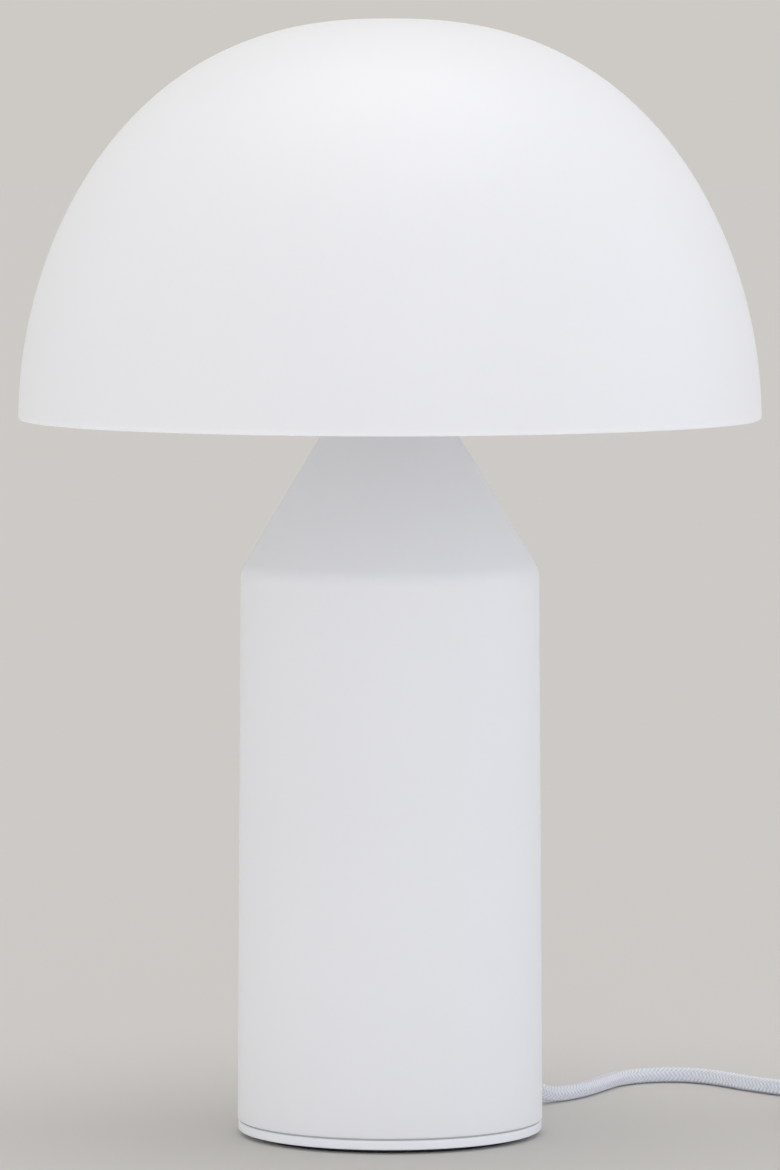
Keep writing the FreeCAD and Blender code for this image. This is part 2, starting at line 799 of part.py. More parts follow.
def globe_solid(radius, neck_r, neck_z, centre_z):
    """Ball joined to its neck by the straight flank that is tangent to it."""
    reach = math.hypot(neck_r, centre_z - neck_z)
    base = math.atan2(neck_z - centre_z, neck_r)
    touch = base + math.acos(radius / reach)
    start = V(radius * math.cos(touch), 0, centre_z + radius * math.sin(touch))
    half = 0.5 * (touch + 0.5 * math.pi)
    middle = V(radius * math.cos(half), 0, centre_z + radius * math.sin(half))
    top = V(0, 0, centre_z + radius)
    neck = V(neck_r, 0, neck_z)
    foot = V(0, 0, neck_z)
    return turned_edges([line(foot, neck), line(neck, start), arc(start, middle, top),
                         line(top, foot)])


def dome_bulb_globe(z0):
    spec = DOME_BULB
    neck = z0 + spec["cap_h"] + spec["collar_h"]
    centre = z0 + spec["length"] - spec["body_r"]
    outer = globe_solid(spec["body_r"], spec["collar_r"], neck, centre)
    inner = globe_solid(spec["body_r"] - BULB_WALL, spec["collar_r"] - BULB_WALL, neck, centre)
    return outer.cut(inner)


def tube_bulb_solid(radius, neck_r, low, top):
    shoulder = low + 5
    bend = top - radius
    corner = radius * math.cos(math.radians(45))
    return turned_edges([
        line(V(0, 0, low), V(neck_r, 0, low)),
        line(V(neck_r, 0, low), V(radius, 0, shoulder)),
        line(V(radius, 0, shoulder), V(radius, 0, bend)),
        arc(V(radius, 0, bend), V(corner, 0, bend + corner), V(0, 0, top)),
        line(V(0, 0, top), V(0, 0, low)),
    ])


def body_bulb_tube(z0, x, y):
    spec = BODY_BULB
    low = z0 + spec["cap_h"] + spec["collar_h"]
    top = z0 + spec["length"]
    outer = tube_bulb_solid(spec["body_r"], spec["collar_r"], low, top)
    inner = tube_bulb_solid(spec["body_r"] - BULB_WALL, spec["collar_r"] - BULB_WALL, low,
                            top - BULB_WALL)
    solid = outer.cut(inner)
    solid.translate(V(x, y, 0))
    return solid


def lampholder(prefix, spec, z0, x, y, finish):
    save(prefix + "_holder_cap", finish(holder_cap(spec, z0, x, y)))
    save(prefix + "_holder_skirt", finish(holder_skirt(spec, z0, x, y)))
    save(prefix + "_holder_core", finish(holder_core(spec, z0, x, y)))
    save(prefix + "_holder_thread", finish(holder_thread(spec, z0, x, y)))
    save(prefix + "_holder_contacts", [finish(s) for s in holder_contacts(spec, z0, x, y)])


def bulb_parts(prefix, spec, z0, x, y, finish):
    save(prefix + "_bulb_cap", finish(screw_cap(spec, z0, x, y)))
    save(prefix + "_bulb_contact", finish(bulb_contact(spec, z0, x, y)))
    save(prefix + "_bulb_collar", finish(bulb_collar(spec, z0, x, y)))


def body_lamp_bracket():
    """Z-shaped strip on the ballast that carries the small lampholder."""
    w = 0.5 * BRACKET_W
    top = BRACKET_TOP_Z
    plate = box((-w, -BRACKET_FOOT_V, top - BRACKET_T), (w, BRACKET_NOSE - BRACKET_V, top))
    leg = box((-w, -BRACKET_FOOT_V - BRACKET_T, ballast_top_z), (w, -BRACKET_FOOT_V, top))
    foot = box((-w, -BRACKET_END_V, ballast_top_z),
               (w, -BRACKET_FOOT_V - BRACKET_T, ballast_top_z + BRACKET_T))
    solid = plate.fuse([leg, foot]).removeSplitter()
    over = top + CUT_OVER
    solid = solid.cut(cylinder(TUBE_R + HOLE_CLEAR, top - 2 * BRACKET_T, over, 0, -BRACKET_V))
    for side in (-1, 1):
        solid = solid.cut(cylinder(SCREW_R + HUB_CLEAR, 0, top - 2 * BRACKET_T,
                                   side * BRACKET_SCREW_U, -BRACKET_SCREW_V))
    return turn_about_axis(solid, CORD_AZIMUTH)


def body_holder_nipple():
    low = BRACKET_TOP_Z - BRACKET_T - NUT_T - NIPPLE_DROP
    solid = ring(TUBE_R, TUBE_BORE_R, low, low + NIPPLE_L, 0, -BRACKET_V)
    return turn_about_axis(solid, CORD_AZIMUTH)


def fixing_screws(grow=0.0):
    """Two screws of the cord clamp and two of the bracket."""
    clamp_top = exit_z + cord_bore_r + CLAMP_T
    screws = []
    for side in (-1, 1):
        screws.append(small_screw(CLAMP_U, side * CLAMP_SCREW_V, clamp_top, grow))
        screws.append(small_screw(side * BRACKET_SCREW_U, -BRACKET_SCREW_V,
                                  ballast_top_z + BRACKET_T, grow))
    return [turn_about_axis(s, CORD_AZIMUTH) for s in screws]


def cord_clamp():
    low = ballast_top_z
    seat = exit_z + cord_bore_r
    inner = notch_half + DISH_GAP
    u0 = CLAMP_U - 0.5 * CLAMP_W
    u1 = CLAMP_U + 0.5 * CLAMP_W
    bar = box((u0, -CLAMP_HALF, seat), (u1, CLAMP_HALF, seat + CLAMP_T))
    for side in (-1, 1):
        v0 = min(side * CLAMP_HALF, side * inner)
        v1 = max(side * CLAMP_HALF, side * inner)
        bar = bar.fuse(box((u0, v0, low), (u1, v1, seat)))
    bar = bar.removeSplitter()
    top = seat + CLAMP_T + CUT_OVER
    bar = bar.common(cylinder(ballast_r, low - CUT_OVER, top))
    for side in (-1, 1):
        bar = bar.cut(cylinder(SCREW_R + HOLE_CLEAR, 0, top, CLAMP_U, side * CLAMP_SCREW_V))
    return turn_about_axis(bar, CORD_AZIMUTH)


def cord_bushing():
    """Bushing through the glass with its tapered strain relief, moulded in one."""
    barrel = along_u(bush_r, glass_inner_foot_r - BUSH_BARREL_IN, exit_face_u, 0, exit_z)
    root = exit_face_u + BUSH_FLANGE_T
    flange = along_u(bush_flange_r, exit_face_u, root, 0, exit_z)
    root_r = cord_bore_r + RELIEF_ROOT_WALL
    tip_r = cord_bore_r + RELIEF_TIP_WALL
    taper = Part.makeCone(root_r, tip_r, RELIEF_L, V(root, 0, exit_z), X_AXIS)
    solid = barrel.fuse([flange, taper]).removeSplitter()
    bore = along_u(cord_bore_r, 0.5 * FOOT_R, relief_end_u + CUT_OVER, 0, exit_z)
    return turn_about_axis(solid.cut(bore), CORD_AZIMUTH)


def bushing_nut():
    reach = bush_flange_r
    outer_u = math.sqrt(glass_inner_foot_r ** 2 - reach ** 2) - NUT_SEAT_GAP
    inner_u = outer_u - BUSH_NUT_T
    nut = along_u(reach, inner_u, outer_u, 0, exit_z)
    nut = nut.cut(along_u(bush_r + THREAD_CLEAR, inner_u - CUT_OVER, FOOT_R, 0, exit_z))
    nut = nut.cut(box((inner_u - CUT_OVER, -2 * reach, 0), (FOOT_R, 2 * reach, glass_z0 + NUT_FLAT)))
    return turn_about_axis(nut, CORD_AZIMUTH)


def cord_entry():
    stub = along_u(cord_r, SHEATH_END_U, relief_end_u, 0, exit_z)
    return turn_about_axis(stub, CORD_AZIMUTH)


def pole_rows():
    return BLOCK_V - 0.5 * POLE_PITCH, BLOCK_V + 0.5 * POLE_PITCH


def terminal_block():
    half = 0.5 * BLOCK_L
    v0 = BLOCK_V - POLE_PITCH
    v1 = BLOCK_V + POLE_PITCH
    solid = box((-half, v0, block_z), (half, v1, block_z + BLOCK_H))
    for v in pole_rows():
        solid = solid.cut(
            along_u(SLEEVE_R + THREAD_CLEAR, -half - CUT_OVER, half + CUT_OVER, v, hole_z))
        for side in (-1, 1):
            solid = solid.cut(cylinder(
                TERMINAL_SCREW_R + TERMINAL_MOUTH, hole_z, block_z + BLOCK_H + CUT_OVER,
                side * TERMINAL_SCREW_U, v))
    return turn_about_axis(solid, CORD_AZIMUTH)


def terminal_sleeves():
    sleeves = []
    half = 0.5 * BLOCK_L - SLEEVE_INSET
    over = half + CUT_OVER
    for v in pole_rows():
        solid = along_u(SLEEVE_R, -half, half, v, hole_z)
        solid = solid.cut(along_u(SLEEVE_BORE_R, -over, over, v, hole_z))
        for side in (-1, 1):
            solid = solid.cut(cylinder(TERMINAL_SCREW_R + HOLE_CLEAR, hole_z,
                                       hole_z + 2 * SLEEVE_R, side * TERMINAL_SCREW_U, v))
        sleeves.append(turn_about_axis(solid, CORD_AZIMUTH))
    return sleeves


def terminal_screws():
    screws = []
    low = hole_z + WIRE_STACK + WIRE_R + THREAD_CLEAR
    high = block_z + BLOCK_H - TERMINAL_SCREW_DEPTH
    for v in pole_rows():
        for side in (-1, 1):
            solid = cylinder(TERMINAL_SCREW_R, low, high, side * TERMINAL_SCREW_U, v)
            screws.append(turn_about_axis(solid, CORD_AZIMUTH))
    return screws


def wires(routes):
    return [turn_about_axis(tube([V(*p) for p in route], WIRE_R), CORD_AZIMUTH)
            for route in routes]


def supply_wires():
    """From the cord's sheath to the terminal block."""
    near, far = pole_rows()
    p = WIRE_PAIR
    return wires([
        [(SHEATH_END_U, -p, exit_z), (29, -p, exit_z), (21, 12, 16.5),
         (19, 24, hole_z - 0.4), (13, near, hole_z), (WIRE_END, near, hole_z)],
        [(SHEATH_END_U, p, exit_z), (33, p, exit_z), (30, 16, 17),
         (26, 32, hole_z), (15.5, far, hole_z), (WIRE_END, far, hole_z)],
    ])


def riser_wires():
    """From the terminal block through the tube's slot up to the dome's lampholder."""
    near, far = pole_rows()
    p = WIRE_PAIR
    z = hole_z + WIRE_STACK
    top = dome_holder_z + DOME_HOLDER["cap_h"] - WIRE_TOP_GAP
    corner = hole_z + SLOT_RISE + 8.0
    return wires([
        [(-WIRE_END, near, z), (-15, near, z), (-20, 18, z - 0.3), (-16.5, 3, z + 1.2),
         (0, p, corner), (0, p, top)],
        [(-WIRE_END, far, z), (-19, far, z), (-26, 20, z - 0.3), (-18.5, -p, z - 0.2),
         (0, -p, corner), (0, -p, top)],
    ])


def body_lamp_wires():
    """From the terminal block round the tube and up the nipple of the small holder."""
    near, far = pole_rows()
    z = hole_z - WIRE_STACK
    low = ballast_top_z + 2.4
    top = body_holder_z + BODY_HOLDER["cap_h"] - WIRE_TOP_GAP
    inner = -BRACKET_V + WIRE_PAIR
    outer = -BRACKET_V - WIRE_PAIR
    return wires([
        [(-WIRE_END, near, z), (-13, near, z), (-19, 20, low), (-20, 0, low),
         (-19, -20, low), (-12.5, inner + 0.4, low), (0, inner, low), (0, inner, top)],
        [(-WIRE_END, far, z), (-15, far, z), (-23, 24, low), (-24.2, 0, low),
         (-22.5, -22, low), (-13.5, outer + 0.4, low), (0, outer, low), (0, outer, top)],
    ])


def switch_shell(z0, z1, at):
    """Outer form of the switch between two levels: a rounded oblong."""
    x, y, z = at
    w = 0.5 * SWITCH_W
    half = 0.5 * SWITCH_L
    solid = box((x - w, y - half, z), (x + w, y + half, z + SWITCH_H))
    upright = []
    for edge in solid.Edges:
        if abs(edge.tangentAt(edge.FirstParameter).z) > 0.9:
            upright.append(edge)
    solid = solid.makeFillet(SWITCH_ROUND, upright)
    rims = []
    for edge in solid.Edges:
        if edge.BoundBox.ZLength < 0.01:
            rims.append(edge)
    solid = solid.makeFillet(SWITCH_RIM_ROUND, rims)
    reach = SWITCH_L
    return solid.common(box((x - reach, y - reach, z + z0), (x + reach, y + reach, z + z1)))


def switch_cavity(at):
    x, y, z = at
    w = 0.5 * SWITCH_W - SWITCH_WALL
    half = 0.5 * SWITCH_L - SWITCH_WALL
    return box((x - w, y - half, z + SWITCH_WALL), (x + w, y + half, z + SWITCH_H - SWITCH_WALL))


def switch_cord_hole(at):
    x, y, z = at
    start = V(x, y - SWITCH_L, z + SWITCH_SPLIT_Z)
    return Part.makeCylinder(cord_bore_r, 2 * SWITCH_L, start, Y_AXIS)


def switch_post(at, side, z0, z1, radius):
    """Upright cylinder at one of the two screws that hold the switch together."""
    x, y, z = at
    return cylinder(radius, z + z0, z + z1, x + side * POST_X, y - side * POST_Y)


def switch_base(at):
    solid = switch_shell(0, SWITCH_SPLIT_Z, at).cut(switch_cavity(at))
    for side in (-1, 1):
        solid = solid.fuse(switch_post(at, side, POST_END_GAP, SWITCH_SPLIT_Z, POST_R))
    for side in (-1, 1):
        solid = solid.cut(switch_screw(at, side, SCREW_CLEAR))
    return solid.cut(switch_cord_hole(at))


def switch_screw(at, side, grow=0.0):
    head_z = CASE_HEAD_Z0 if not grow else -CUT_OVER
    top = SWITCH_SPLIT_Z + CASE_SCREW_RISE
    head = switch_post(at, side, head_z, CASE_HEAD_Z1, CASE_HEAD_R + grow)
    shank = switch_post(at, side, CASE_HEAD_Z1 - 0.1, top, CASE_SCREW_R + grow)
    return head.fuse(shank)


def switch_cover(at):
    x, y, z = at
    solid = switch_shell(SWITCH_SPLIT_Z, SWITCH_H, at).cut(switch_cavity(at))
    top = SWITCH_H - POST_END_GAP
    for side in (-1, 1):
        solid = solid.fuse(switch_post(at, side, SWITCH_SPLIT_Z, top, POST_R))
    ear_in = 0.5 * ROCKER_W + ROCKER_SIDE_GAP
    ear_out = ear_in + EAR_T
    for side in (-1, 1):
        x0 = min(x + side * ear_in, x + side * ear_out)
        ear = box((x0, y - EAR_HALF, z + PIVOT_Z - EAR_HALF), (x0 + EAR_T, y + EAR_HALF, z + top))
        solid = solid.fuse(ear)
    half = 0.5 * ROCKER_L + ROCKER_GAP
    solid = solid.cut(box((x - ear_in, y - half, z + PIVOT_Z - ROCKER_WELL),
                          (x + ear_in, y + half, z + SWITCH_H + CUT_OVER)))
    pin_start = V(x - ear_out - PIVOT_SEAT, y, z + PIVOT_Z)
    pin_hole_l = 2 * (ear_out + PIVOT_SEAT)
    solid = solid.cut(Part.makeCylinder(PIVOT_R + PIVOT_SEAT, pin_hole_l, pin_start, X_AXIS))
    for side in (-1, 1):
        solid = solid.cut(switch_screw(at, side, THREAD_CLEAR))
    return solid.cut(switch_cord_hole(at))


def rocker_profile():
    """Side view of the rocker: raised at both ends, lower in the middle."""
    half = 0.5 * ROCKER_L
    crest = half - ROCKER_CREST_IN
    return [(-half, -ROCKER_DEPTH), (half, -ROCKER_DEPTH), (half, ROCKER_END_H),
            (crest, ROCKER_CREST_H), (0, ROCKER_MIDDLE_H), (-crest, ROCKER_CREST_H),
            (-half, ROCKER_END_H)]


def switch_rocker(at):
    x, y, z = at
    side = x - 0.5 * ROCKER_W
    corners = [V(side, y + py, z + PIVOT_Z + pz) for py, pz in rocker_profile()]
    face = Part.Face(Part.makePolygon(corners + [corners[0]]))
    solid = face.extrude(V(ROCKER_W, 0, 0))
    bore_start = V(x - ROCKER_W, y, z + PIVOT_Z)
    solid = solid.cut(Part.makeCylinder(PIVOT_R + PIVOT_FIT, 2 * ROCKER_W, bore_start, X_AXIS))
    solid.rotate(V(x, y, z + PIVOT_Z), X_AXIS, ROCKER_TILT)
    return solid


def switch_pin(at):
    x, y, z = at
    reach = 0.5 * ROCKER_W + ROCKER_SIDE_GAP + EAR_T - PIN_INSET
    return Part.makeCylinder(PIVOT_R, 2 * reach, V(x - reach, y, z + PIVOT_Z), X_AXIS)


def switch_terminals(at):
    """Two brass terminal blocks on the housing's floor, under the rocker's ends."""
    x, y, z = at
    low = z + SWITCH_WALL
    half = 0.5 * TERMINAL_SIZE
    blocks = []
    for side in (-1, 1):
        middle = y + side * TERMINAL_Y
        blocks.append(box((x - half, middle - half, low),
                          (x + half, middle + half, low + TERMINAL_H)))
    return blocks


def biarc(p0, t0, p1, t1):
    """Two tangent arcs from p0 heading t0 to p1 heading t1."""
    chord = p1 - p0
    both = t0 + t1
    slope = 2 * (1 - t0.dot(t1))
    across = chord.dot(both)
    if slope < 1e-9:
        d = chord.dot(chord) / (4 * chord.dot(t1))
    else:
        d = (-across + math.sqrt(across ** 2 + slope * chord.dot(chord))) / slope
    q0 = p0 + t0 * d
    q1 = p1 - t1 * d
    joint = (q0 + q1) * 0.5
    heading = q1 - q0
    heading.normalize()
    return [arc_from(p0, t0, joint), arc_from(joint, heading, p1)]


def arc_from(start, heading, end):
    """Arc from start to end that leaves start along heading."""
    chord = end - start
    normal = chord - heading * chord.dot(heading)
    normal.normalize()
    radius = chord.dot(chord) / (2 * chord.dot(normal))
    centre = start + normal * radius
    middle = (start + end) * 0.5 - centre
    middle.normalize()
    return arc(start, centre + middle * radius, end)


def coil_state(turn):
    """Radius and height of the coil's centreline after so many turns."""
    layer = COIL_TURNS_PER_LAYER
    inner = COIL_OUTER_R - coil_pitch * layer
    if turn <= layer:
        return COIL_OUTER_R - coil_pitch * turn, coil_z
    if turn >= layer + 0.5:
        return inner + coil_pitch * (turn - layer - 0.5), coil_z + coil_pitch
    s = (turn - layer) * 2
    radius = inner - coil_pitch * 0.5 * (s - s * s)
    return radius, coil_z + coil_pitch * 0.5 * (1 - math.cos(math.pi * s))


def coil_point(turn):
    radius, z = coil_state(turn)
    angle = math.pi + 2 * math.pi * turn
    return V(COIL_X + radius * math.cos(angle), COIL_Y + radius * math.sin(angle), z)


def coil_heading(turn):
    step = 1e-4
    if turn <= 0:
        return V(0, -1, 0)
    if turn >= coil_total:
        return V(0, 1, 0)
    heading = coil_point(turn + step) - coil_point(turn - step)
    heading.normalize()
    return heading


def cord_coil():
    """Two layers wound in and out again, climbing where the spiral reverses."""
    quarters = int(round(coil_total * 4))
    start = coil_point(0) + V(0, CORD_D, 0)
    edges = [line(start, coil_point(0))]
    for i in range(quarters):
        a = i / 4.0
        b = (i + 1) / 4.0
        edges += biarc(coil_point(a), coil_heading(a), coil_point(b), coil_heading(b))
    end = coil_point(coil_total)
    edges.append(line(end, end + V(0, CORD_D, 0)))
    wire = Part.Wire(edges)
    print("coil length", round(wire.Length, 1), "self-gap", round(coil_self_gap(wire), 2))
    return sweep(wire, cord_r, start, V(0, -1, 0))


def coil_self_gap(wire):
    """Least clear distance between passes of the coil that lie half a turn or more apart."""
    count = 520
    points = wire.discretize(Number=count)
    inner_r = COIL_OUTER_R - coil_pitch * COIL_TURNS_PER_LAYER
    skip = int(count * math.pi * 0.85 * inner_r / wire.Length)
    least = wire.Length
    for i, a in enumerate(points):
        for b in points[i + skip:]:
            least = min(least, (a - b).Length)
    return least - CORD_D


def coil_tie():
    """Strap round all the turns at the coil's front."""
    inner = COIL_OUTER_R - coil_pitch * COIL_TURNS_PER_LAYER
    r0 = inner - cord_r - TIE_CLEAR
    r1 = COIL_OUTER_R + cord_r + TIE_CLEAR
    z0 = coil_z - cord_r - TIE_CLEAR
    z1 = coil_z + coil_pitch + cord_r + TIE_CLEAR
    x0 = COIL_X - 0.5 * TIE_W
    outer = box((x0, COIL_Y - r1 - TIE_T, z0 - TIE_T),
                (x0 + TIE_W, COIL_Y - r0 + TIE_T, z1 + TIE_T))
    edges = [e for e in outer.Edges if abs(e.tangentAt(e.FirstParameter).x) > 0.9]
    outer = outer.makeFillet(TIE_T + TIE_ROUND, edges)
    hole = box((x0 - CUT_OVER, COIL_Y - r1, z0), (x0 + TIE_W + CUT_OVER, COIL_Y - r0, z1))
    edges = [e for e in hole.Edges if abs(e.tangentAt(e.FirstParameter).x) > 0.9]
    return outer.cut(hole.makeFillet(TIE_ROUND, edges))


def plug_place(shape):
    """Turn a piece drawn along +Y from the plug's rear to its place."""
    shape.rotate(V(0, 0, 0), Z_AXIS, PLUG_HEADING - 90)
    shape.translate(V(PLUG_X, PLUG_Y, plug_axis_z))
    return shape


def plug_body():
    rear = PLUG_RELIEF_L
    front = rear + PLUG_BODY_L
    shoulder = rear + PLUG_SHOULDER_L
    w0 = 0.5 * PLUG_REAR_W
    w1 = 0.5 * PLUG_W
    t = 0.5 * PLUG_T
    outline = [V(-w0, rear, -t), V(w0, rear, -t), V(w1, shoulder, -t), V(w1, front, -t),
               V(-w1, front, -t), V(-w1, shoulder, -t), V(-w0, rear, -t)]
    solid = Part.Face(Part.makePolygon(outline)).extrude(V(0, 0, PLUG_T))
    upright = []
    for edge in solid.Edges:
        if abs(edge.tangentAt(edge.FirstParameter).z) > 0.9:
            upright.append(edge)
    solid = solid.makeFillet(PLUG_CORNER, upright)
    rims = [e for e in solid.Edges if e.BoundBox.ZLength < 0.01]
    solid = solid.makeFillet(PLUG_ROUND, rims)
    taper = Part.makeCone(cord_r + PLUG_RELIEF_WALL, PLUG_RELIEF_ROOT_R, rear + PLUG_RELIEF_IN,
                          V(0, 0, 0), Y_AXIS)
    solid = solid.fuse(taper).removeSplitter()
    for side in (-1, 1):
        solid = solid.cut(pin_root(side))
    return plug_place(solid)


def pin_root(side):
    """The thinner end of a pin, moulded into the plug's body."""
    front = PLUG_RELIEF_L + PLUG_BODY_L
    start = V(side * 0.5 * PIN_SPACING, front - PIN_ROOT_L, 0)
    return Part.makeCylinder(PIN_ROOT_R, PIN_ROOT_L, start, Y_AXIS)


def plug_pins():
    front = PLUG_RELIEF_L + PLUG_BODY_L
    pins = []
    for side in (-1, 1):
        start = V(side * 0.5 * PIN_SPACING, front, 0)
        solid = Part.makeCylinder(PIN_R, PIN_L, start, Y_AXIS)
        tip = [e for e in solid.Edges if abs(e.BoundBox.YMin - front - PIN_L) < 0.01]
        solid = solid.makeFillet(PIN_TIP_ROUND, tip)
        pins.append(plug_place(solid.fuse(pin_root(side))))
    return pins


def build_body():
    save("foot_pad", foot_pad())
    save("base_plate", base_plate())
    save("ballast_ring", ballast_ring())
    save("ballast_screws", [ballast_screw(angle) for angle in BALLAST_SCREW_ANGLES])
    save("body_gasket", body_gasket())
    save("glass_body", glass_body())
    save("centre_tube", centre_tube())
    save("tube_nuts", tube_nuts())
    save("tube_washers", tube_washers())
    save("neck_gasket", neck_gasket())
    save("neck_cap", neck_cap())


def build_shade():
    save("carrier_hub", carrier_hub())
    save("carrier_arms", carrier_arms())
    save("carrier_tips", carrier_tips())
    save("glass_shade", glass_shade())


def build_lamps():
    def as_is(shape):
        return shape

    def turned_to_cord(shape):
        return turn_about_axis(shape, CORD_AZIMUTH)

    dome_z = bulb_base_z(DOME_HOLDER, dome_holder_z)
    lampholder("dome", DOME_HOLDER, dome_holder_z, 0, 0, turned_to_cord)
    bulb_parts("dome", DOME_BULB, dome_z, 0, 0, as_is)
    save("dome_bulb_globe", dome_bulb_globe(dome_z))
    body_z = bulb_base_z(BODY_HOLDER, body_holder_z)
    save("body_lamp_bracket", body_lamp_bracket())
    save("body_holder_nipple", body_holder_nipple())
    lampholder("body", BODY_HOLDER, body_holder_z, 0, -BRACKET_V, turned_to_cord)
    bulb_parts("body", BODY_BULB, body_z, 0, -BRACKET_V, turned_to_cord)
    save("body_bulb_tube", turned_to_cord(body_bulb_tube(body_z, 0, -BRACKET_V)))


def build_wiring():
    save("cord_clamp", cord_clamp())
    save("fixing_screws", fixing_screws())
    save("cord_bushing", cord_bushing())
    save("bushing_nut", bushing_nut())
    save("cord_entry", cord_entry())
    save("terminal_block", terminal_block())
    save("terminal_sleeves", terminal_sleeves())
    save("terminal_screws", terminal_screws())
    save("supply_wires", supply_wires())
    save("riser_wires", riser_wires())
    save("body_lamp_wires", body_lamp_wires())


def build_switch():
    at = (SWITCH_X, SWITCH_Y, SWITCH_LIFT)
    save("switch_base", switch_base(at))
    save("switch_cover", switch_cover(at))
    save("switch_rocker", switch_rocker(at))
    save("switch_pin", switch_pin(at))
    save("switch_terminals", switch_terminals(at))
    save("switch_screws", [switch_screw(at, side) for side in (-1, 1)])


def build_cord():
    save("cord_lead", tube(LEAD_ROUTE, cord_r, "cord_lead"))
    save("cord_tail", tube(TAIL_ROUTE, cord_r, "cord_tail"))
    save("cord_coil", cord_coil())
    save("cord_plug_end", tube(PLUG_ROUTE, cord_r, "cord_plug_end"))
    save("coil_tie", coil_tie())
    save("plug_body", plug_body())
    save("plug_pins", plug_pins())


build_body()
build_shade()
build_lamps()
build_wiring()
build_switch()
build_cord()
print("height", round(rim_z + SHADE_H, 1), "rim", round(rim_z, 1), "neck", round(neck_z, 1))
print("arm end", [round(c, 2) for c in arm_end()])
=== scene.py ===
"""White opal glass table lamp with a domed shade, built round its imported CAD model.

Sizes in the classes are in millimetres, as a maker writes them; meshes are in metres.
"""
import logging
import math
from dataclasses import dataclass
from enum import Enum
from itertools import accumulate
from typing import Any, Iterable, Sequence

import bmesh
import bpy
from mathutils import Matrix, Vector


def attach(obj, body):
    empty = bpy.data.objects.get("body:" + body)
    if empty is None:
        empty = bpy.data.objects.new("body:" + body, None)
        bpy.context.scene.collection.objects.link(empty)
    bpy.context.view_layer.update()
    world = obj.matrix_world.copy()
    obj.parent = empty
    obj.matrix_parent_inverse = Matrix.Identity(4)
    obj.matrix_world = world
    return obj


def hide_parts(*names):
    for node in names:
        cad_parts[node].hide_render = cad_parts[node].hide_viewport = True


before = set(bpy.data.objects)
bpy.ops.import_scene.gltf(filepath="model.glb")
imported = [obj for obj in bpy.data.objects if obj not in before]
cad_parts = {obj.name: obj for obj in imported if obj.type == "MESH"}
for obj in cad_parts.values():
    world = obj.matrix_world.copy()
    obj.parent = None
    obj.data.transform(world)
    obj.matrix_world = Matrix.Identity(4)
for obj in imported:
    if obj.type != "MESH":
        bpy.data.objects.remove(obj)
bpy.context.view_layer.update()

LOG = logging.getLogger("table_lamp")
MM = 0.001
FULL_TURN = 2 * math.pi
CORD_AZIMUTH = 52.0
CORD_HEIGHT = 11.1
SMOOTH_ANGLE = 32.0
WELD = 1e-6
NEARLY_STRAIGHT = 0.01
GROOVE_ROUND = 0.15

Piece = bpy.types.Object
Tree = bpy.types.NodeTree
Row = tuple[Any, ...]
Point = tuple[float, float, float]
Outline = list[tuple[float, ...]]


class Body(str, Enum):
    """The parts of the lamp that move on their own."""

    LAMP = "lamp"
    SHADE = "shade"
    DOME_BULB = "dome_bulb"
    BODY_BULB = "body_bulb"
    ROCKER = "rocker"


def linear(colour: str) -> tuple[float, float, float, float]:
    """Turn an sRGB colour into the linear one that shaders take.

    Args:
        colour: Six hex digits, such as "EDEEF0".

    Returns:
        Red, green, blue and an alpha of one.
    """
    parts = []
    for i in (0, 2, 4):
        value = int(colour[i:i + 2], 16) / 255
        parts.append(value / 12.92 if value <= 0.04045 else ((value + 0.055) / 1.055) ** 2.4)
    return parts[0], parts[1], parts[2], 1.0


def add_node(tree: Tree, name: str, kind: str, *inputs: Any) -> None:
    """Add one node with its settings and links.

    Args:
        tree: Tree that gets the node.
        name: The node's name, by which later nodes link to it.
        kind: Blender's type name, or a maths operation in capitals.
        inputs: What the inputs get, in order. Text links to "name" or "name:output", None
            leaves an input as it is, and a dict gives inputs, or properties in lower case.
    """
    if kind.isupper():
        vectors = kind.startswith("VECTOR ")
        node = tree.nodes.new("ShaderNodeVectorMath" if vectors else "ShaderNodeMath")
        node.operation = kind.removeprefix("VECTOR ")
    else:
        node = tree.nodes.new(kind)
    node.name = node.label = name
    for number, given in enumerate(inputs):
        for key, value in (given if isinstance(given, dict) else {number: given}).items():
            if isinstance(key, str) and key[0].islower():
                setattr(node, key, value)
            elif isinstance(value, str) and node.inputs[key].type != "STRING":
                giver, _, output = value.partition(":")
                key_out = int(output) if output.isdigit() else output or 0
                tree.links.new(tree.nodes[giver].outputs[key_out], node.inputs[key])
            elif value is not None:
                node.inputs[key].default_value = value


def set_nodes(owner: bpy.types.ID, rows: Iterable[Row]) -> None:
    """Give a material or the world these nodes and no others.

    Args:
        owner: The material or world.
        rows: What add_node takes for each node, after the tree.
    """
    owner.use_nodes = True
    owner.node_tree.nodes.clear()
    for row in rows:
        add_node(owner.node_tree, *row)


# Finishes


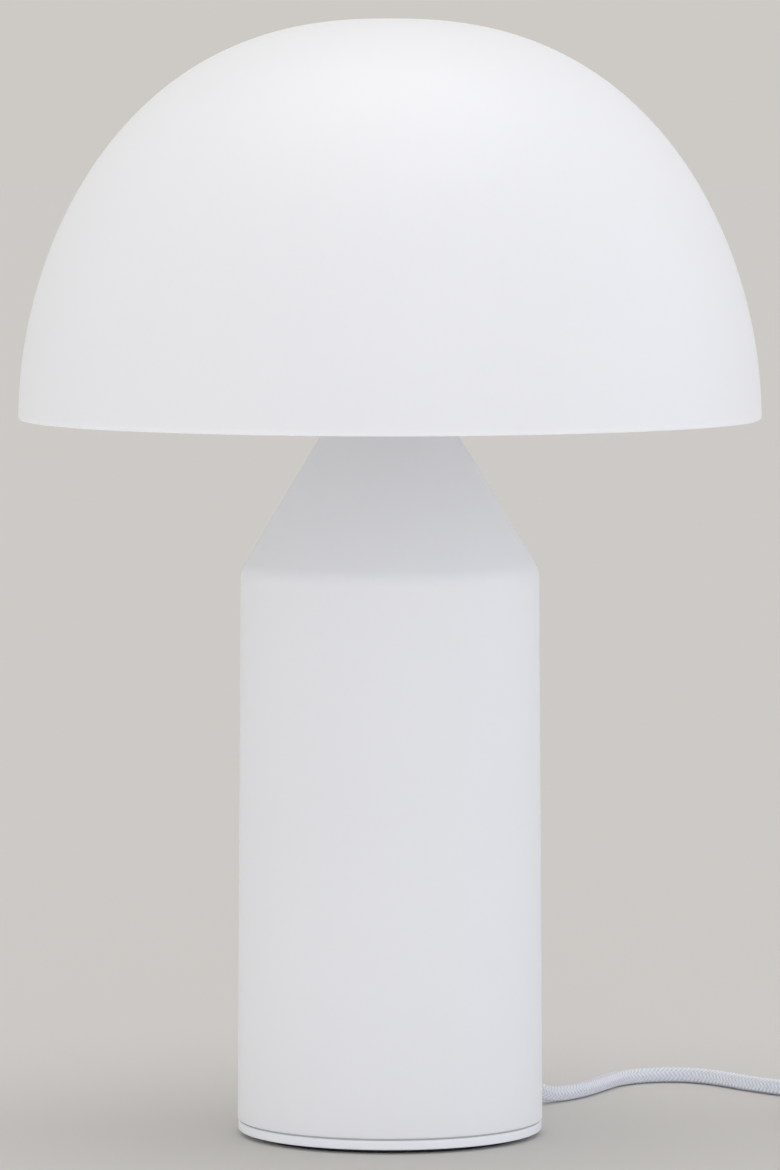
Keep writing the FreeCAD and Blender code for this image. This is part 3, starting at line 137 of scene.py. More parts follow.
@dataclass(frozen=True)
class Finish:
    """A surface that is even apart from faint clouding and a fine grain."""

    name: str
    slot: str
    colour: str
    shade_colour: str
    roughness: float = 0.5
    metallic: float = 0.0
    ior: float = 1.5
    cloud: float = 20.0
    grain: float = 0.8
    grain_depth: float = 0.01
    roughness_spread: float = 0.06

    def shader(self) -> dict:
        """Values for the shader's own sockets."""
        return {"Base Color": linear(self.colour), "Metallic": self.metallic,
                "Roughness": self.roughness, "IOR": self.ior}

    def feeds(self) -> dict:
        """What the shader takes from the pattern."""
        return {"Base Color": "tint:2", "Roughness": "wear", "Normal": "relief"}

    def coarse(self) -> list[Row]:
        """Nodes of the relief named "coarse" under the grain; an even surface has none."""
        return []

    def pattern(self) -> list[Row]:
        """The clouding in colour and roughness, and the grain.

        Returns:
            The nodes, among them "tint", "wear" and "relief".
        """
        coarse, spread = self.coarse(), self.roughness_spread
        return coarse + [
            ("cloud", "ShaderNodeTexNoise",
             {"Scale": 1 / (self.cloud * MM), "Detail": 3.0, "Vector": "place:Object"}),
            ("tint", "ShaderNodeMix", "cloud",
             {"data_type": "RGBA", 6: linear(self.colour), 7: linear(self.shade_colour)}),
            ("wear", "ShaderNodeMapRange", "cloud", 0.3, 0.7, self.roughness - spread,
             self.roughness + spread),
            ("grain", "ShaderNodeTexNoise",
             {"Scale": 1 / (self.grain * MM), "Detail": 2.0, "Vector": "place:Object"}),
            ("relief", "ShaderNodeBump", {"Distance": self.grain_depth * MM, "Height": "grain",
                                          "Normal": "coarse" if coarse else None}),
        ]

    def material(self) -> bpy.types.Material:
        """Make the material when it is first asked for.

        Returns:
            The material.
        """
        made = bpy.data.materials.get(self.name)
        if made is None:
            made = bpy.data.materials.new(self.name)
            made.diffuse_color = linear(self.colour)
            set_nodes(made, [
                ("place", "ShaderNodeTexCoord"), *self.pattern(),
                ("shader", "ShaderNodeBsdfPrincipled", self.shader(), self.feeds()),
                ("output", "ShaderNodeOutputMaterial", "shader")])
        return made


@dataclass(frozen=True)
class SatinOpalGlass(Finish):
    """Blown opal glass, acid etched.

    Light sinks a few millimetres into the white glass, so shading is soft and edges glow.
    The etch takes the gloss down to a silky sheen, and blowing leaves faint long waves.
    """

    depth: float = 2.0
    wave: float = 55.0
    wave_depth: float = 0.12

    def shader(self) -> dict:
        """Plain values with the light's way into the glass."""
        return super().shader() | {
            "Subsurface Weight": 0.8, "Subsurface Radius": (1.0, 0.98, 0.96),
            "Subsurface Scale": self.depth * MM, "Specular IOR Level": 0.5}

    def coarse(self) -> list[Row]:
        """The long waves of the blown wall under the even etch."""
        return [("wave", "ShaderNodeTexNoise",
                 {"Scale": 1 / (self.wave * MM), "Detail": 0.0, "Vector": "place:Object"}),
                ("coarse", "ShaderNodeBump", {"Distance": self.wave_depth * MM, "Height": "wave"})]


@dataclass(frozen=True)
class Plated(Finish):
    """Turned or drawn metal with a thin plating: fine lines and cloudy reflections."""

    line: float = 0.35
    line_stretch: float = 14.0
    line_depth: float = 0.004

    def coarse(self) -> list[Row]:
        """Tool lines, coarser than real ones so that they show.

        Returns:
            The nodes.
        """
        fine = 1 / (self.line * MM)
        long = fine / self.line_stretch
        return [("drawn", "ShaderNodeMapping",
                 {"Scale": (long, long, fine), "Vector": "place:Object"}),
                ("lines", "ShaderNodeTexNoise", {"Scale": 1.0, "Detail": 2.0, "Vector": "drawn"}),
                ("coarse", "ShaderNodeBump", {"Distance": self.line_depth * MM,
                                              "Height": "lines"})]


@dataclass(frozen=True)
class SandCast(Finish):
    """Cast iron under thin black paint: the sand's grain stays in the skin."""

    pit: float = 1.6
    pit_depth: float = 0.12

    def coarse(self) -> list[Row]:
        """The sand's pits."""
        return [("sand", "ShaderNodeTexVoronoi",
                 {"Scale": 1 / (self.pit * MM), "Vector": "place:Object"}),
                ("coarse", "ShaderNodeBump", {"Distance": self.pit_depth * MM, "Height": "sand"})]


@dataclass(frozen=True)
class Textile(Finish):
    """A surface of threads, as rough in one place as in another."""

    def feeds(self) -> dict:
        """What the shader takes from the pattern."""
        return {"Base Color": "tint:2", "Normal": "relief"}


@dataclass(frozen=True)
class BraidedYarn(Textile):
    """Polyester yarn braided round the cord: silky strands with fine filaments."""

    filament: float = 7.0

    def shader(self) -> dict:
        """Plain values with the sheen of loose filament ends."""
        return super().shader() | {"Sheen Weight": 0.5, "Sheen Roughness": 0.35}

    def pattern(self) -> list[Row]:
        """Filaments along each strand, with painted shade darkening it towards its tucked-in
        edges.
        """
        return [
            ("strand", "ShaderNodeAttribute", {"attribute_name": "strand"}),
            # Across the strand, along it, and a jump from strand to strand.
            ("filaments", "VECTOR MULTIPLY", "strand:1", (self.filament, 0.9 / MM, 7.31)),
            ("fibre", "ShaderNodeTexNoise", {"Scale": 1.0, "Detail": 1.0, "Vector": "filaments"}),
            ("parts", "ShaderNodeSeparateXYZ", "strand:1"),
            # Painted shade: each strand darkens towards its tucked-in edges, where its neighbours
            # would shade it.
            ("edge", "ABSOLUTE", "parts:0"),
            ("edge shade", "ShaderNodeMapRange", "edge", 0.45, 1.0, 0.0, 0.55),
            ("fibre shade", "ShaderNodeMapRange", "fibre", 0.35, 0.65, 0.0, 0.3),
            # The painted edge shade and the random filament tone together set how far the colour
            # goes towards the darker one.
            ("depth", "ADD", "edge shade", "fibre shade"),
            ("tint", "ShaderNodeMix", "depth",
             {"data_type": "RGBA", 6: linear(self.colour), 7: linear(self.shade_colour)}),
            ("relief", "ShaderNodeBump", {"Distance": 0.02 * MM, "Height": "fibre"}),
        ]


@dataclass(frozen=True)
class WovenTape(Textile):
    """Narrow woven tape with a brushed face: plain weave that reads as small checks, with painted
    shade in its low spots.
    """

    thread: float = 0.55
    fuzz: float = 0.5

    def pattern(self) -> list[Row]:
        """Crossing threads over the tape's own length and width, with painted shade in the low
        spots of the weave.

        Returns:
            The nodes.
        """
        pitch = FULL_TURN / (2 * self.thread * MM)
        return [
            ("tape", "ShaderNodeAttribute", {"attribute_name": "tape"}),
            ("parts", "ShaderNodeSeparateXYZ", "tape:1"),
            ("warp angle", "MULTIPLY", "parts:0", pitch),
            ("weft angle", "MULTIPLY", "parts:1", pitch),
            ("warp", "SINE", "warp angle"),
            ("weft", "SINE", "weft angle"),
            ("weave", "MULTIPLY", "warp", "weft"),
            ("fuzz", "ShaderNodeTexNoise",
             {"Scale": 1 / (self.fuzz * MM), "Detail": 2.0, "Vector": "place:Object"}),
            ("height", "ADD", "weave", "fuzz"),
            # Painted shade: the low spots of the weave take the darker colour, and the fuzz varies
            # the tone at random.
            ("shade", "ShaderNodeMapRange", "height", -0.6, 1.4),
            ("tint", "ShaderNodeMix", "shade",
             {"data_type": "RGBA", 6: linear(self.shade_colour), 7: linear(self.colour)}),
            ("relief", "ShaderNodeBump", {"Distance": 0.12 * MM, "Height": "height"}),
        ]


# Blown opal glass, acid etched: deep soft white with a silky gloss and faint long waves.
OPAL_GLASS = SatinOpalGlass("satin_opal_glass", "opal_glass", "F5F5F6", "F2F2F3", 0.42,
                            cloud=70.0, grain=0.7, grain_depth=0.004, roughness_spread=0.03)
# Electrostatic powder paint, baked: semi-gloss white with a fine orange-peel skin.
POWDER_COAT = Finish("powder_coated_steel", "white_steel", "F9FAFD", "F5F6F9", 0.32,
                     cloud=30.0, grain=1.1, grain_depth=0.012, roughness_spread=0.04)
# Moulded black rubber, matt with a dusty bloom.
FOOT_RUBBER = Finish("moulded_rubber", "rubber", "2B2B2C", "363637", 0.82,
                     cloud=8.0, grain=0.5, grain_depth=0.03)
# Clear silicone seal seen edge on, grey because it is dark behind it.
SEAL = Finish("clear_silicone_seal", "clear_seal", "BEBFC0", "B2B3B4", 0.45, ior=1.41,
              cloud=6.0, grain=0.6, grain_depth=0.004)
# Sand cast iron under thin black paint: dull and pitted, with rust-free darker clouds.
CAST_IRON = SandCast("sand_cast_iron", "iron", "3B3B3D", "2C2C2E", 0.68, cloud=9.0,
                     grain=0.7, grain_depth=0.05)
# Zinc plate, passivated: bluish and slightly cloudy over turned steel.
ZINC = Plated("zinc_plated_steel", "zinc_steel", "C9CBD0", "B9BBC0", 0.3, metallic=1.0,
              cloud=5.0, grain=0.9, grain_depth=0.003, roughness_spread=0.08)
# Soft silicone caps: milky and matt, so that glass doesn't slip or ring on them.
SOFT_TIP = Finish("moulded_silicone", "silicone", "E2E3E3", "D8DADA", 0.6, ior=1.41,
                  cloud=7.0, grain=0.5, grain_depth=0.01)
# Glossy thermoset moulding with a slight flow mottle.
HOLDER_MOULDING = Finish("moulded_thermoset", "holder_plastic", "EBEAE5", "E4E2DC", 0.24,
                         cloud=12.0, grain=1.4, grain_depth=0.006)
# Pressed steatite, unglazed: chalky with a grey cast.
STEATITE = Finish("pressed_steatite", "ceramic", "E3E0D8", "D8D4CB", 0.7, cloud=4.0,
                  grain=0.35, grain_depth=0.02)
# Stamped brass, bright: warm and clean, with drawing lines and duller patches.
BRASS = Plated("stamped_brass", "brass", "D9BC78", "C4A45F", 0.28, metallic=1.0, cloud=6.0,
               grain=0.9, grain_depth=0.003, roughness_spread=0.08)
# Rolled aluminium of a bulb's cap: pale and satin, with the roller's lines.
CAP_ALUMINIUM = Plated("rolled_aluminium", "bulb_cap", "D3D4D8", "C6C8CC", 0.34, metallic=1.0,
                       cloud=7.0, grain=0.8, grain_depth=0.004)
# Moulded collar of a lamp: bright white, smooth.
COLLAR = Finish("moulded_polycarbonate", "bulb_collar", "EEEEEE", "EAEAEA", 0.28, cloud=15.0,
                grain=1.2, grain_depth=0.004)
# Bulb coated white on the inside: milky, with a plain glossy skin.
BULB_GLASS = SatinOpalGlass("coated_bulb_glass", "bulb_glass", "F0EFEB", "ECEBE6", 0.16,
                            cloud=20.0, grain=1.5, grain_depth=0.002, roughness_spread=0.02,
                            depth=2.0, wave=18.0, wave_depth=0.03)
# Natural nylon: slightly yellow and waxy.
NYLON = Finish("moulded_nylon", "nylon", "DEDCD2", "D4D2C6", 0.46, ior=1.53, cloud=6.0,
               grain=0.5, grain_depth=0.01)
# Spark-eroded mould skin on white plastic: fine, even matt grain.
MOULDED_WHITE = Finish("moulded_white_plastic", "white_plastic", "EEEEEE", "E9E9EA", 0.42,
                       ior=1.54, cloud=16.0, grain=0.45, grain_depth=0.02)
# Braided polyester: silky strands, drawn coarser than real ones so that they show. The darker
# colour is painted shade at the strands' tucked-in edges, and random filament tone.
CORD_BRAID = BraidedYarn("braided_polyester", "cord", "F1F2F7", "A4A9B6", 0.62, ior=1.55)
# The lower strands and the sheath that show between the upper ones, darkened as painted shade in
# the gaps between the strands.
CORD_UNDERLAY_PAINTED_SHADE = Finish("braid_underlay_painted_shade", "cord", "C9CDD4", "B4B8C0", 0.75, cloud=1.2,
                    grain=0.35, grain_depth=0.04)
# Extruded insulation of the inner wires: smooth and slightly waxy.
WIRE_SKIN = Finish("wire_insulation", "wire_brown", "6B4327", "5C3820", 0.38, cloud=5.0,
                   grain=0.7, grain_depth=0.008)
# Woven polyester tape: soft and matt, its threads drawn coarser so that they show. The grey
# between them is painted shade.
STRAP = WovenTape("woven_polyester_tape", "strap", "E4E4E4", "B9BABC", 0.8)
# Nickel on brass pins, bright with faint handling marks.
NICKEL = Plated("nickel_plated_pins", "pin_metal", "D6D3CC", "CAC7C0", 0.18, metallic=1.0,
                cloud=4.0, grain=1.0, grain_depth=0.002, roughness_spread=0.05)


# Making and placing pieces


def shift(x: float, y: float, z: float = 0.0) -> Matrix:
    """A move in millimetres."""
    return Matrix.Translation(Vector((x, y, z)) * MM)


def spin(degrees: float, axis: str) -> Matrix:
    """A turn about an axis."""
    return Matrix.Rotation(math.radians(degrees), 4, axis)


def along_cord(u: float, v: float = 0.0, z: float = 0.0) -> Vector:
    """A point given along and across the cord's way out of the body, in metres."""
    return spin(CORD_AZIMUTH, "Z") @ Vector((u, v, z)) * MM


def smooth_step(t: float) -> float:
    """Rise softly from zero to one while t does."""
    t = min(max(t, 0.0), 1.0)
    return t * t * (3 - 2 * t)


def in_scene(name: str, data: bpy.types.ID) -> Piece:
    """Put data into the scene as an object.

    Args:
        name: The object's name.
        data: Its mesh, curve, lamp or camera.

    Returns:
        The object.
    """
    made = bpy.data.objects.new(name, data)
    bpy.context.scene.collection.objects.link(made)
    return made


def mesh_piece(name: str, points: Iterable[Sequence[float]], faces: Sequence = ()) -> Piece:
    """Make an object from points in metres.

    Args:
        name: The piece's name.
        points: Its vertices.
        faces: Vertex numbers of each face; without any, edges join the points in a row.

    Returns:
        The object, in the scene, with its place in its mesh.
    """
    mesh, places = bpy.data.meshes.new(name), [tuple(p) for p in points]
    edges = [] if faces else [(i, i + 1) for i in range(len(places) - 1)]
    mesh.from_pydata(places, edges, faces)
    mesh.update()
    return in_scene(name, mesh)


def tidy_mesh(piece: Piece, turn_outwards: bool = True) -> Piece:
    """Weld a closed piece and shade it smooth up to its edges.

    Args:
        piece: Closed mesh.
        turn_outwards: Whether its faces are turned outwards too.

    Returns:
        The same piece.
    """
    made = bmesh.new()
    made.from_mesh(piece.data)
    bmesh.ops.remove_doubles(made, verts=made.verts, dist=WELD)
    bmesh.ops.dissolve_degenerate(made, dist=WELD, edges=made.edges)
    if turn_outwards:
        bmesh.ops.recalc_face_normals(made, faces=made.faces)
    for face in made.faces:
        face.smooth = True
    made.to_mesh(piece.data)
    made.free()
    piece.data.set_sharp_from_angle(angle=math.radians(SMOOTH_ANGLE))
    return piece


def applied(piece: Piece) -> Piece:
    """Turn a piece with its modifiers, or a curve, into a plain mesh.

    Args:
        piece: The piece; a curve's object is replaced.

    Returns:
        The plain mesh under the same name.
    """
    bpy.context.view_layer.update()
    graph = bpy.context.evaluated_depsgraph_get()
    mesh = bpy.data.meshes.new_from_object(piece.evaluated_get(graph))
    if piece.type == "MESH":
        old = piece.data
        piece.modifiers.clear()
        piece.data = mesh
        bpy.data.meshes.remove(old)
        return piece
    name = piece.name
    bpy.data.objects.remove(piece)
    return in_scene(name, mesh)


def moved(piece: Piece, place: Matrix) -> Piece:
    """Put a piece in its place by moving its mesh."""
    piece.data.transform(place)
    return piece


def carved(piece: Piece, *cutters: Piece) -> Piece:
    """Cut closed pieces out of a piece, and remove them.

    Args:
        piece: Closed mesh.
        cutters: What is cut out of it.

    Returns:
        The same piece.
    """
    for cutter in cutters:
        cut = piece.modifiers.new("cut", "BOOLEAN")
        cut.operation, cut.solver, cut.object = "DIFFERENCE", "EXACT", cutter
        applied(piece)
        bpy.data.objects.remove(cutter)
    return piece


def bevelled(piece: Piece, width: float, segments: int = 2, angle: float = 60.0) -> Piece:
    """Round a piece's edges.

    Args:
        piece: Closed mesh.
        width: Radius in millimetres.
        segments: Steps of the rounding.
        angle: Only edges sharper than this many degrees.

    Returns:
        The same piece.
    """
    bevel = piece.modifiers.new("round", "BEVEL")
    bevel.width, bevel.segments = width * MM, segments
    bevel.limit_method, bevel.angle_limit = "ANGLE", math.radians(angle)
    return applied(piece)


def set_down(piece: Piece, finish: Finish, *nodes: str, body: Body = Body.LAMP) -> Piece:
    """Give a finished piece its material, its body and the CAD nodes that it stands for.

    Args:
        piece: The piece, in its place.
        finish: Its surface.
        nodes: CAD nodes that it replaces.
        body: What it moves with.

    Returns:
        The same piece.
    """
    piece.data.materials.clear()
    piece.data.materials.append(finish.material())
    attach(piece, body.value)
    if nodes:
        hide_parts(*nodes)
    LOG.info("%s rides on %s", piece.name, body.value)
    return piece


def dress(finish: Finish, *nodes: str) -> None:
    """Give CAD nodes that stay as they are their material.

    Args:
        finish: Their surface.
        nodes: The nodes' names.
    """
    for name in nodes:
        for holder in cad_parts[name].material_slots:
            holder.material = finish.material()
        LOG.info("%s keeps its CAD shape in %s", name, finish.name)


def made_tree(name: str, inputs: dict, rows: Sequence[Row]) -> Tree:
    """Build a Geometry Nodes tree, unless it is there already.

    Args:
        name: The tree's name.
        inputs: Named inputs with their defaults, besides the piece's "Finish".
        rows: Nodes, the last of which gives the geometry.

    Returns:
        The tree, which ends in real geometry in its own material.
    """
    tree = bpy.data.node_groups.get(name)
    if tree:
        return tree
    tree = bpy.data.node_groups.new(name, "GeometryNodeTree")
    sockets = {int: "NodeSocketInt", float: "NodeSocketFloat"}
    add_socket = tree.interface.new_socket
    add_socket("Geometry", in_out="INPUT", socket_type="NodeSocketGeometry")
    for label, value in inputs.items():
        socket = add_socket(label, in_out="INPUT", socket_type=sockets[type(value)])
        socket.default_value = value
    add_socket("Finish", in_out="INPUT", socket_type="NodeSocketMaterial")
    add_socket("Geometry", in_out="OUTPUT", socket_type="NodeSocketGeometry")
    for row in [("sizes", "NodeGroupInput"), *rows,
                ("real", "GeometryNodeRealizeInstances", rows[-1][0]),
                ("finished", "GeometryNodeSetMaterial", "real", {"Material": "sizes:Finish"}),
                ("result", "NodeGroupOutput", "finished")]:
        add_node(tree, *row)
    return tree


def grown(piece: Piece, tree: Tree, finish: Finish, **sizes: float) -> Piece:
    """Run a tree on a piece and keep the result as its plain mesh.

    Args:
        piece: Object whose mesh the tree starts from.
        tree: Geometry Nodes tree.
        finish: The surface of what grows.
        sizes: Values for the tree's named inputs, with _ for a space.

    Returns:
        The same piece.
    """
    values = {key.replace("_", " ").title(): value for key, value in sizes.items()}
    values["Finish"] = finish.material()
    modifier = piece.modifiers.new(tree.name, "NODES")
    modifier.node_group = tree
    for item in tree.interface.items_tree:
        if item.in_out == "INPUT" and item.name in values:
            modifier[item.identifier] = values[item.name]
    return applied(piece)


# A sheet of vertices, with the row and column of each.
SHEET = (
    ("sheet", "GeometryNodeMeshGrid", {"Vertices X": "columns", "Vertices Y": "rows"}),
    ("number", "GeometryNodeInputIndex"),
    ("row", "MODULO", "number", "rows"),
    ("share", "DIVIDE", "number", "rows"),
    ("column", "FLOOR", "share"),
)
# From an angle and a radius to two ways across.
ROUND = (
    ("cosine", "COSINE", "angle"),
    ("sine", "SINE", "angle"),
    ("x", "MULTIPLY", "radius", "cosine"),
    ("y", "MULTIPLY", "radius", "sine"),
)
# The lathe: sends a section's points round the upright axis.
LATHE = (
    ("section size", "GeometryNodeAttributeDomainSize", "sizes:Geometry"),
    ("rows", "ADD", "section size", "sizes:Closed"),
    ("columns", "ADD", "sizes:Turn Steps", 1.0),
    *SHEET,
    ("section row", "MODULO", "row", "section size"),
    ("spot", "GeometryNodeInputPosition"),
    ("section point", "GeometryNodeSampleIndex",
     {"data_type": "FLOAT_VECTOR", "Geometry": "sizes:Geometry", "Value": "spot",
      "Index": "section row"}),
    ("section", "ShaderNodeSeparateXYZ", "section point"),
    ("turn", "DIVIDE", "column", "sizes:Turn Steps"),
    ("angle", "MULTIPLY", "turn", FULL_TURN),
    # Waves on the surface: ribs stand upright, and a thread climbs one pitch in a turn.
    ("climb", "MULTIPLY", "section:2", "sizes:Waves Up"),
    ("round", "MULTIPLY", "turn", "sizes:Waves Round"),
    ("wave turn", "SUBTRACT", "climb", "round"),
    ("wave angle", "MULTIPLY", "wave turn", FULL_TURN),
    ("wave", "COSINE", "wave angle"),
    ("crest", "MULTIPLY_ADD", "wave", 0.5, 0.5),
    ("radius", "MULTIPLY_ADD", "crest", "section:1", "section:0"),
    *ROUND,
    ("place", "ShaderNodeCombineXYZ", "x", "y", "section:2"),
    ("turned", "GeometryNodeSetPosition", {"Geometry": "sheet", "Position": "place"}),
    ("welded", "GeometryNodeMergeByDistance", {"Geometry": "turned", "Distance": WELD}),
)
# The braid: strands of both hands, each three vertices wide, wound round a line.
BRAID = (
    ("line", "GeometryNodeMeshToCurve", "sizes:Geometry"),
    ("stretch", "SUBTRACT", "sizes:End", "sizes:Start"),
    ("steps", "DIVIDE", "stretch", "sizes:Step"),
    ("whole steps", "ROUND", "steps"),
    ("columns", "ADD", "whole steps", 1.0),
    # Two hands, and three vertices across each strand.
    ("rows", "MULTIPLY", "sizes:Strands", 6.0),
    *SHEET,
    ("gaps", "SUBTRACT", "rows", 1.0),
    ("face row", "MODULO", "number", "gaps"),
    ("face side", "MODULO", "face row", 3.0),
    ("between strands", "GREATER_THAN", "face side", 1.5),
    ("third", "DIVIDE", "row", 3.0),
    ("strand", "FLOOR", "third"),
    ("row side", "MODULO", "row", 3.0),
    ("side", "SUBTRACT", "row side", 1.0),
    ("left hand", "LESS_THAN", "strand", "sizes:Strands"),
    ("hand", "MULTIPLY_ADD", "left hand", 2.0, -1.0),
    ("place in hand", "MODULO", "strand", "sizes:Strands"),
    ("run", "MULTIPLY_ADD", "column", "sizes:Step", "sizes:Start"),
    # The strands' angle to the cord, from one turn's way round and along.
    ("way round", "MULTIPLY", "sizes:Radius", FULL_TURN),
    ("braid angle", "ARCTAN2", "way round", "sizes:Lay"),
    ("angle sine", "SINE", "braid angle"),
    ("angle cosine", "COSINE", "braid angle"),
    ("half width", "MULTIPLY", "sizes:Strand Width", 0.5),
    ("off centre", "MULTIPLY", "side", "half width"),
    ("handed", "MULTIPLY", "off centre", "hand"),
    ("back", "MULTIPLY", "handed", "angle sine"),
    ("length", "SUBTRACT", "run", "back"),
    ("round shift", "MULTIPLY", "off centre", "angle cosine"),
    ("turn shift", "DIVIDE", "round shift", "sizes:Radius"),
    ("lays", "DIVIDE", "run", "sizes:Lay"),
    ("handed lays", "MULTIPLY", "lays", "hand"),
    ("start", "DIVIDE", "place in hand", "sizes:Strands"),
    ("turns", "ADD", "handed lays", "start"),
    ("angle", "MULTIPLY_ADD", "turns", FULL_TURN, "turn shift"),
    # Over two and under two: the wave that makes the cord's fine herringbone.
    ("crossings", "MULTIPLY", "handed lays", "sizes:Strands"),
    ("phase", "ADD", "crossings", "place in hand"),
    ("weave angle", "MULTIPLY_ADD", "phase", math.pi, 0.25 * math.pi),
    ("weave wave", "COSINE", "weave angle"),
    ("over or under", "MULTIPLY", "weave wave", "hand"),
    # Cut off at one, a steeper wave lies flat where it is over or under.
    ("steeper", "MULTIPLY", "over or under", 1.45),
    ("not over", "MINIMUM", "steeper", 1.0),
    ("float", "MAXIMUM", "not over", -1.0),
    ("lift", "MULTIPLY_ADD", "float", "sizes:Weave Depth", "sizes:Radius"),
    ("edge", "ABSOLUTE", "side"),
    ("middle", "SUBTRACT", 1.0, "edge"),
    ("radius", "MULTIPLY_ADD", "middle", "sizes:Crown", "lift"),
    *ROUND,
    ("on the line", "GeometryNodeSampleCurve",
     {"mode": "LENGTH", "Curves": "line", "Length": "length"}),
    ("sideways", "VECTOR CROSS_PRODUCT", "on the line:Tangent", "on the line:Normal"),
    ("first", "VECTOR SCALE", "on the line:Normal", {"Scale": "x"}),
    ("second", "VECTOR SCALE", "sideways", {"Scale": "y"}),
    ("outwards", "VECTOR ADD", "first", "second"),
    ("place", "VECTOR ADD", "on the line:Position", "outwards"),
    ("measure", "ShaderNodeCombineXYZ", "side", "run", "strand"),
    ("measured", "GeometryNodeStoreNamedAttribute",
     {"data_type": "FLOAT_VECTOR", "Geometry": "sheet", "Name": "strand", "Value": "measure"}),
    ("laid", "GeometryNodeSetPosition", {"Geometry": "measured", "Position": "place"}),
    ("strips", "GeometryNodeDeleteGeometry",
     {"domain": "FACE", "Geometry": "laid", "Selection": "between strands"}),
    ("smooth", "GeometryNodeSetShadeSmooth", "strips"),
)


def turned_piece(name: str, outline: Outline, finish: Finish, closed: bool = True,
                 steps: int = 192, waves_round: int = 1, waves_up: float = 0.0) -> Piece:
    """Turn an outline round the upright axis.

    Args:
        name: The piece's name.
        outline: Radius and level of each point, and the height of the waves on it, if any.
        finish: Its surface.
        closed: Whether the last point joins the first; else both ends lie on the axis.
        steps: Steps in a turn.
        waves_round: Waves in a turn, such as a grip's ribs.
        waves_up: Waves in a millimetre of height, such as a thread's.

    Returns:
        The piece, welded and smooth.
    """
    tree = made_tree("turned piece", {"Turn Steps": 192, "Closed": 1, "Waves Round": 1,
                                      "Waves Up": 0.0}, LATHE)
    points = [(p[0] * MM, p[2] * MM if len(p) > 2 else 0.0, p[1] * MM) for p in outline]
    return tidy_mesh(grown(mesh_piece(name, points), tree, finish, turn_steps=steps,
                           closed=int(closed), waves_round=waves_round,
                           waves_up=waves_up / MM))


def rounded(corners: Sequence[tuple], steps: int = 6) -> Outline:
    """Round the corners of an outline.

    Args:
        corners: Two coordinates and, where the corner is round, its radius.
        steps: Steps of each rounding.

    Returns:
        The outline's points, in order.
    """
    points: Outline = []
    for i, corner in enumerate(corners):
        here, radius = Vector(corner[:2]), corner[2] if len(corner) > 2 else 0.0
        before = (Vector(corners[i - 1][:2]) - here).normalized()
        after = (Vector(corners[(i + 1) % len(corners)][:2]) - here).normalized()
        half = 0.5 * before.angle(after) if radius else 0.0
        if not radius or half > 0.5 * math.pi - NEARLY_STRAIGHT:
            points.append(tuple(here))
            continue
        centre = here + (before + after).normalized() * (radius / math.sin(half))
        start = here + before * (radius / math.tan(half)) - centre
        end = here + after * (radius / math.tan(half)) - centre
        sweep = math.copysign(math.pi - 2 * half, start.x * end.y - start.y * end.x)
        points += [tuple(centre + Matrix.Rotation(sweep * k / steps, 2) @ start)
                   for k in range(steps + 1)]
    return points


def groove(at: float, places: Sequence[float], radii: Sequence[float]) -> list[tuple]:
    """Corners of one moulded groove round a bar, which starts at a place along it."""
    return [(radius, at + place, GROOVE_ROUND) for place, radius in zip(places, radii)]


def oblong(half_x: float, half_y: float, radius: float = 0.0, steps: int = 6) -> Outline:
    """A rectangle about the origin, with round corners if a radius is given."""
    return rounded([(x * half_x, y * half_y, radius)
                    for x, y in ((1, 1), (-1, 1), (-1, -1), (1, -1))], steps)


def circle(radius: float, x: float = 0.0, y: float = 0.0, steps: int = 32) -> Outline:
    """A circle's points."""
    return [(x + math.cos(FULL_TURN * i / steps) * radius,
             y + math.sin(FULL_TURN * i / steps) * radius) for i in range(steps)]


def lofted(name: str, loops: Sequence[Sequence[Point]]) -> Piece:
    """Skin a row of closed loops with equal numbers of points, and cap both ends.

    Args:
        name: The piece's name.
        loops: Points of each loop in millimetres.

    Returns:
        The closed piece.
    """
    size = len(loops[0])
    points = [Vector(p) * MM for loop in loops for p in loop]
    faces = [(a + i, a + (i + 1) % size, a + size + (i + 1) % size, a + size + i)
             for a in range(0, len(points) - size, size) for i in range(size)]
    faces += [tuple(range(size)), tuple(range(len(points) - size, len(points)))[::-1]]
    return tidy_mesh(mesh_piece(name, points, faces))


def upright(name: str, plan: Outline, low: float, high: float) -> Piece:
    """A bar with the given plan between two levels, used as a cutter."""
    return lofted(name, [[(x, y, z) for x, y in plan] for z in (low, high)])


def route_curve(name: str, routes: Sequence[Sequence[Vector]], radius: float,
                sides: int = 4) -> Piece:
    """A round cord or wire on smooth routes.

    Args:
        name: The piece's name.
        routes: Control points of each route, in metres.
        radius: In millimetres.
        sides: Bevel resolution.

    Returns:
        A curve object with one open spline for each route.
    """
    data = bpy.data.curves.new(name, "CURVE")
    data.dimensions, data.resolution_u = "3D", 12
    data.bevel_depth, data.bevel_resolution = radius * MM, sides
    data.use_fill_caps = True
    for route in routes:
        spline = data.splines.new("NURBS")
        spline.points.add(len(route) - 1)
        for point, place in zip(spline.points, route):
            point.co = (*place, 1.0)
        spline.use_smooth, spline.order_u, spline.use_endpoint_u = True, 3, True
    return in_scene(name, data)


def route_line(piece: Piece) -> list[Vector]:
    """The points down the middle of a route's spline.

    Args:
        piece: A curve with one spline.

    Returns:
        The points in order, in metres.
    """
    bare = bpy.data.objects.new("bare_route", piece.data.copy())
    bare.data.bevel_depth = 0.0
    mesh = bpy.data.meshes.new_from_object(bare)
    line = [v.co.copy() for v in mesh.vertices]
    bpy.data.meshes.remove(mesh)
    bpy.data.curves.remove(bare.data)
    return line


def joined(name: str, pieces: Sequence[Piece]) -> Piece:
    """Join several pieces into one.

    Args:
        name: The new piece's name.
        pieces: What it is made of; these go.

    Returns:
        The new piece.
    """
    made = bmesh.new()
    for piece in pieces:
        made.from_mesh(piece.data)
        bpy.data.objects.remove(piece)
    mesh = bpy.data.meshes.new(name)
    made.to_mesh(mesh)
    made.free()
    return tidy_mesh(in_scene(name, mesh), False)


# The lamp's pieces


